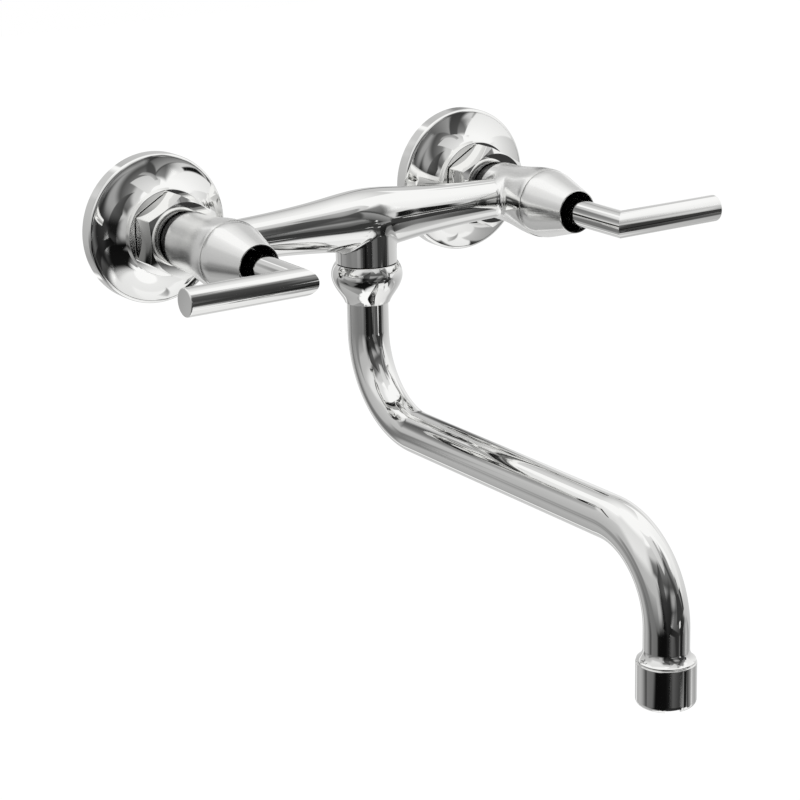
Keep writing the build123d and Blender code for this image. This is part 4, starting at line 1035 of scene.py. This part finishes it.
class FAUCET_OT_inner_pieces(Step, bpy.types.Operator):
    """Finishes of the pieces inside: glands, discs, spindles, seals, rings, aerator insert"""
    bl_idname = "faucet.inner_pieces"
    bl_label = "Inner pieces"

    def execute(self, context):
        given = context.scene.faucet_finishes
        brass = worked("machined brass", given.brass, 0.25, 0.28, 700.0, 1.0, 0.25)
        # the glands' near-black colour is painted shade for the dark recess inside the bonnet, not
        # the brass's own colour
        gland = worked("gland painted shade", given.gland, 0.3, 0.5, 700.0, 1.0, 0.05)
        rubber = worked("seal rubber", given.rubber, 0.3, 0.55, 1100.0)
        fibre = worked("pressed fibre", given.fibre, 0.45, 0.75, 1500.0, relief=0.6)
        ceramic = worked("lapped ceramic", given.ceramic, 0.08, 0.18, 2000.0, relief=0.05)
        steel = worked("spring steel", given.steel, 0.2, 0.3, 1300.0, 1.0)
        slip = worked("slip plastic", given.slip_plastic, 0.12, 0.45, 900.0)
        insert = insert_plastic()
        by_slot = {"brass": brass, "seal_rubber": rubber, "fibre": fibre, "ceramic": ceramic,
                   "spring_steel": steel, "slip_plastic": slip, "insert_plastic": insert}
        kinds = {
            "sealing_washer": "fibre", "seat_washer": "seal_rubber", "gland_body": "brass",
            "fixed_disc": "ceramic", "turning_disc": "ceramic", "spindle": "brass",
            "spindle_oring": "seal_rubber", "circlip": "spring_steel",
            "lever_screw": "spring_steel",
            "slip_ring": "slip_plastic", "thrust_ring": "slip_plastic", "spout_spigot": "brass",
            "spout_oring_upper": "seal_rubber", "spout_oring_lower": "seal_rubber",
            "aerator_seal": "seal_rubber", "aerator_insert": "insert_plastic",
            "strainer_disc": "spring_steel",
        }
        for name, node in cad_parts.items():
            family = name.removesuffix("_left").removesuffix("_right")
            if family in kinds:
                kind = kinds[family]
                node.data.materials.clear()
                node.data.materials.append(gland if family == "gland_body" else by_slot[kind])
        return {"FINISHED"}


class FAUCET_OT_studio(Step, bpy.types.Operator):
    """Camera at the photograph's angle, pale floor, soft light and the cards the chrome shows"""
    bl_idname = "faucet.studio"
    bl_label = "Studio"

    def execute(self, context):
        scene = context.scene
        camera = bpy.data.objects.new("camera", bpy.data.cameras.new("camera"))
        scene.collection.objects.link(camera)
        eye = (-0.534869, -0.890614, 0.229340)
        right = (0.834978, -0.549869, -0.021348)
        up = (0.178020, 0.233208, 0.955993)
        back = (-0.520693, -0.802034, 0.292611)
        turn = Matrix((right, up, back)).transposed().to_4x4()
        camera.matrix_world = Matrix.Translation(eye) @ turn
        camera.data.sensor_width, camera.data.lens = 36.0, 113.55
        camera.data.clip_start, camera.data.clip_end = 0.01, 50.0
        scene.camera = camera
        scene.view_settings.view_transform = "Standard"
        self.make_world(scene)
        self.make_floor(scene)
        self.make_cards(scene)
        return {"FINISHED"}

    @staticmethod
    def seen_by(tree, *rays):
        """1 for rays of the named kinds, 0 for the others."""
        path = add(tree, "ShaderNodeLightPath")
        seen = path.outputs[rays[0]]
        for ray in rays[1:]:
            seen = add(tree, "ShaderNodeMath", {0: seen, 1: path.outputs[ray]},
                       operation="MAXIMUM").outputs[0]
        return seen

    def make_world(self, scene):
        """White for the camera and for reflections, a plain level for the diffuse light."""
        world = bpy.data.worlds.new("studio")
        scene.world = world
        world.use_nodes = True
        tree = world.node_tree
        tree.nodes.clear()
        seen = self.seen_by(tree, "Is Camera Ray", "Is Glossy Ray", "Is Transmission Ray")
        level = add(tree, "ShaderNodeMapRange", {"Value": seen}, {"To Min": 0.85, "To Max": 1.0})
        light = add(tree, "ShaderNodeBackground", {"Strength": level.outputs[0]})
        light.inputs["Color"].default_value = (1, 1, 1, 1)
        out = add(tree, "ShaderNodeOutputWorld")
        tree.links.new(light.outputs[0], out.inputs["Surface"])

    def make_floor(self, scene):
        """Large pale floor well below the faucet, lifted to white where it is seen."""
        mesh = bpy.data.meshes.new("floor")
        reach, depth = 9.0, FLOOR
        mesh.from_pydata([(-reach, -reach, depth), (reach, -reach, depth), (reach, reach, depth),
                          (-reach, reach, depth)], [], [(0, 1, 2, 3)])
        floor = bpy.data.objects.new("floor", mesh)
        scene.collection.objects.link(floor)
        material = bpy.data.materials.new("pale floor")
        material.use_nodes = True
        tree = material.node_tree
        shader = tree.nodes["Principled BSDF"]
        shader.inputs["Base Color"].default_value = (*scene.faucet_finishes.floor, 1)
        shader.inputs["Roughness"].default_value = 0.9
        shader.inputs["Specular IOR Level"].default_value = 0.0
        seen = self.seen_by(tree, "Is Camera Ray", "Is Glossy Ray")
        lift = add(tree, "ShaderNodeMath", {0: seen}, {1: 0.25}, operation="MULTIPLY")
        shader.inputs["Emission Color"].default_value = (1, 1, 1, 1)
        tree.links.new(lift.outputs[0], shader.inputs["Emission Strength"])
        floor.data.materials.append(material)

    @staticmethod
    def make_cards(scene):
        """Grey cards all round the faucet, seen only in the reflections of the chrome."""
        material = bpy.data.materials.new("studio card")
        material.use_nodes = True
        tree = material.node_tree
        tree.nodes.clear()
        grey = add(tree, "ShaderNodeAttribute", attribute_name="grey")
        cover = add(tree, "ShaderNodeAttribute", attribute_name="cover")
        glow = add(tree, "ShaderNodeEmission", {"Color": grey.outputs["Color"]})
        clear = add(tree, "ShaderNodeBsdfTransparent")
        mix = add(tree, "ShaderNodeMixShader", {0: cover.outputs["Fac"], 1: clear.outputs[0],
                                                2: glow.outputs[0]})
        out = add(tree, "ShaderNodeOutputMaterial")
        tree.links.new(mix.outputs[0], out.inputs["Surface"])
        cells, gap, step = 40, 0.02, 0.003
        u, v = np.meshgrid(np.linspace(0, 1, cells + 1), np.linspace(0, 1, cells + 1))
        u, v = u.ravel()[:, None], v.ravel()[:, None]
        row = cells + 1
        faces = [(i * row + j, i * row + j + 1, (i + 1) * row + j + 1, (i + 1) * row + j)
                 for i in range(cells) for j in range(cells)]
        for number, (corners, (low, high), soft, distance) in enumerate(CARDS):
            corners = np.array(corners, float)
            spots = ((1 - u) * (1 - v) * corners[0] + u * (1 - v) * corners[1]
                     + u * v * corners[2] + (1 - u) * v * corners[3])
            side, lift = np.radians(spots.T)
            ways = np.stack((np.sin(side) * np.cos(lift), -np.cos(side) * np.cos(lift),
                             np.sin(lift)), 1)
            # no card reaches the floor, and there each card lies one step above the last
            clear = gap + step * number
            far = np.minimum(distance, (CENTRE[2] - FLOOR - clear) / np.maximum(-ways[:, 2], 1e-6))
            edges = np.roll(corners, -1, 0) - corners
            edges /= np.linalg.norm(edges, axis=1)[:, None]
            inset = [(spots[:, 1] - c[1]) * e[0] - (spots[:, 0] - c[0]) * e[1]
                     for c, e in zip(corners, edges)]
            share = np.clip(np.min(inset, axis=0) / soft, 0, 1)
            rise = np.clip(inset[0] / np.maximum(inset[0] + inset[2], 1e-6), 0, 1)
            name = f"card_{number + 1:02d}"
            mesh = bpy.data.meshes.new(name)
            mesh.from_pydata((np.array(CENTRE) + ways * far[:, None]).tolist(), [], faces)
            paint(mesh, "cover", share * share * (3 - 2 * share))
            paint(mesh, "grey", low + (high - low) * rise)
            card = bpy.data.objects.new(name, mesh)
            scene.collection.objects.link(card)
            card.data.materials.append(material)
            for kind in ("camera", "diffuse", "transmission", "volume_scatter", "shadow"):
                setattr(card, f"visible_{kind}", False)


STEPS = (
    FAUCET_OT_wall_flanges, FAUCET_OT_wall_legs, FAUCET_OT_union_nuts, FAUCET_OT_inlet_tails,
    FAUCET_OT_casting, FAUCET_OT_bonnets, FAUCET_OT_levers, FAUCET_OT_spout_nut,
    FAUCET_OT_spout_tube, FAUCET_OT_outlet, FAUCET_OT_inner_pieces, FAUCET_OT_studio,
)


class FAUCET_PT_build(bpy.types.Panel):
    """Lists the faucet's sizes, finishes and building steps"""
    bl_idname = "FAUCET_PT_build"
    bl_label = "Wall mixer faucet"
    bl_space_type = "VIEW_3D"
    bl_region_type = "UI"
    bl_category = "Faucet"

    def draw(self, context):
        for group in (context.scene.faucet_sizes, context.scene.faucet_finishes):
            column = self.layout.column()
            for name in group.bl_rna.properties.keys():
                if name not in ("rna_type", "name"):
                    column.prop(group, name)
        for step in STEPS:
            self.layout.operator(step.bl_idname)


CLASSES = (FaucetSizes, FaucetFinishes, *STEPS, FAUCET_PT_build)


def register():
    """Registers the classes and their properties on the scene."""
    for cls in CLASSES:
        bpy.utils.register_class(cls)
    bpy.types.Scene.faucet_sizes = PointerProperty(type=FaucetSizes)
    bpy.types.Scene.faucet_finishes = PointerProperty(type=FaucetFinishes)


def unregister():
    """Takes them off again."""
    del bpy.types.Scene.faucet_finishes
    del bpy.types.Scene.faucet_sizes
    for cls in reversed(CLASSES):
        bpy.utils.unregister_class(cls)


def main():
    """Builds every piece and the studio."""
    register()
    for step in STEPS:
        group, name = step.bl_idname.split(".")
        getattr(getattr(bpy.ops, group), name)()


if __name__ == "__main__":
    main()
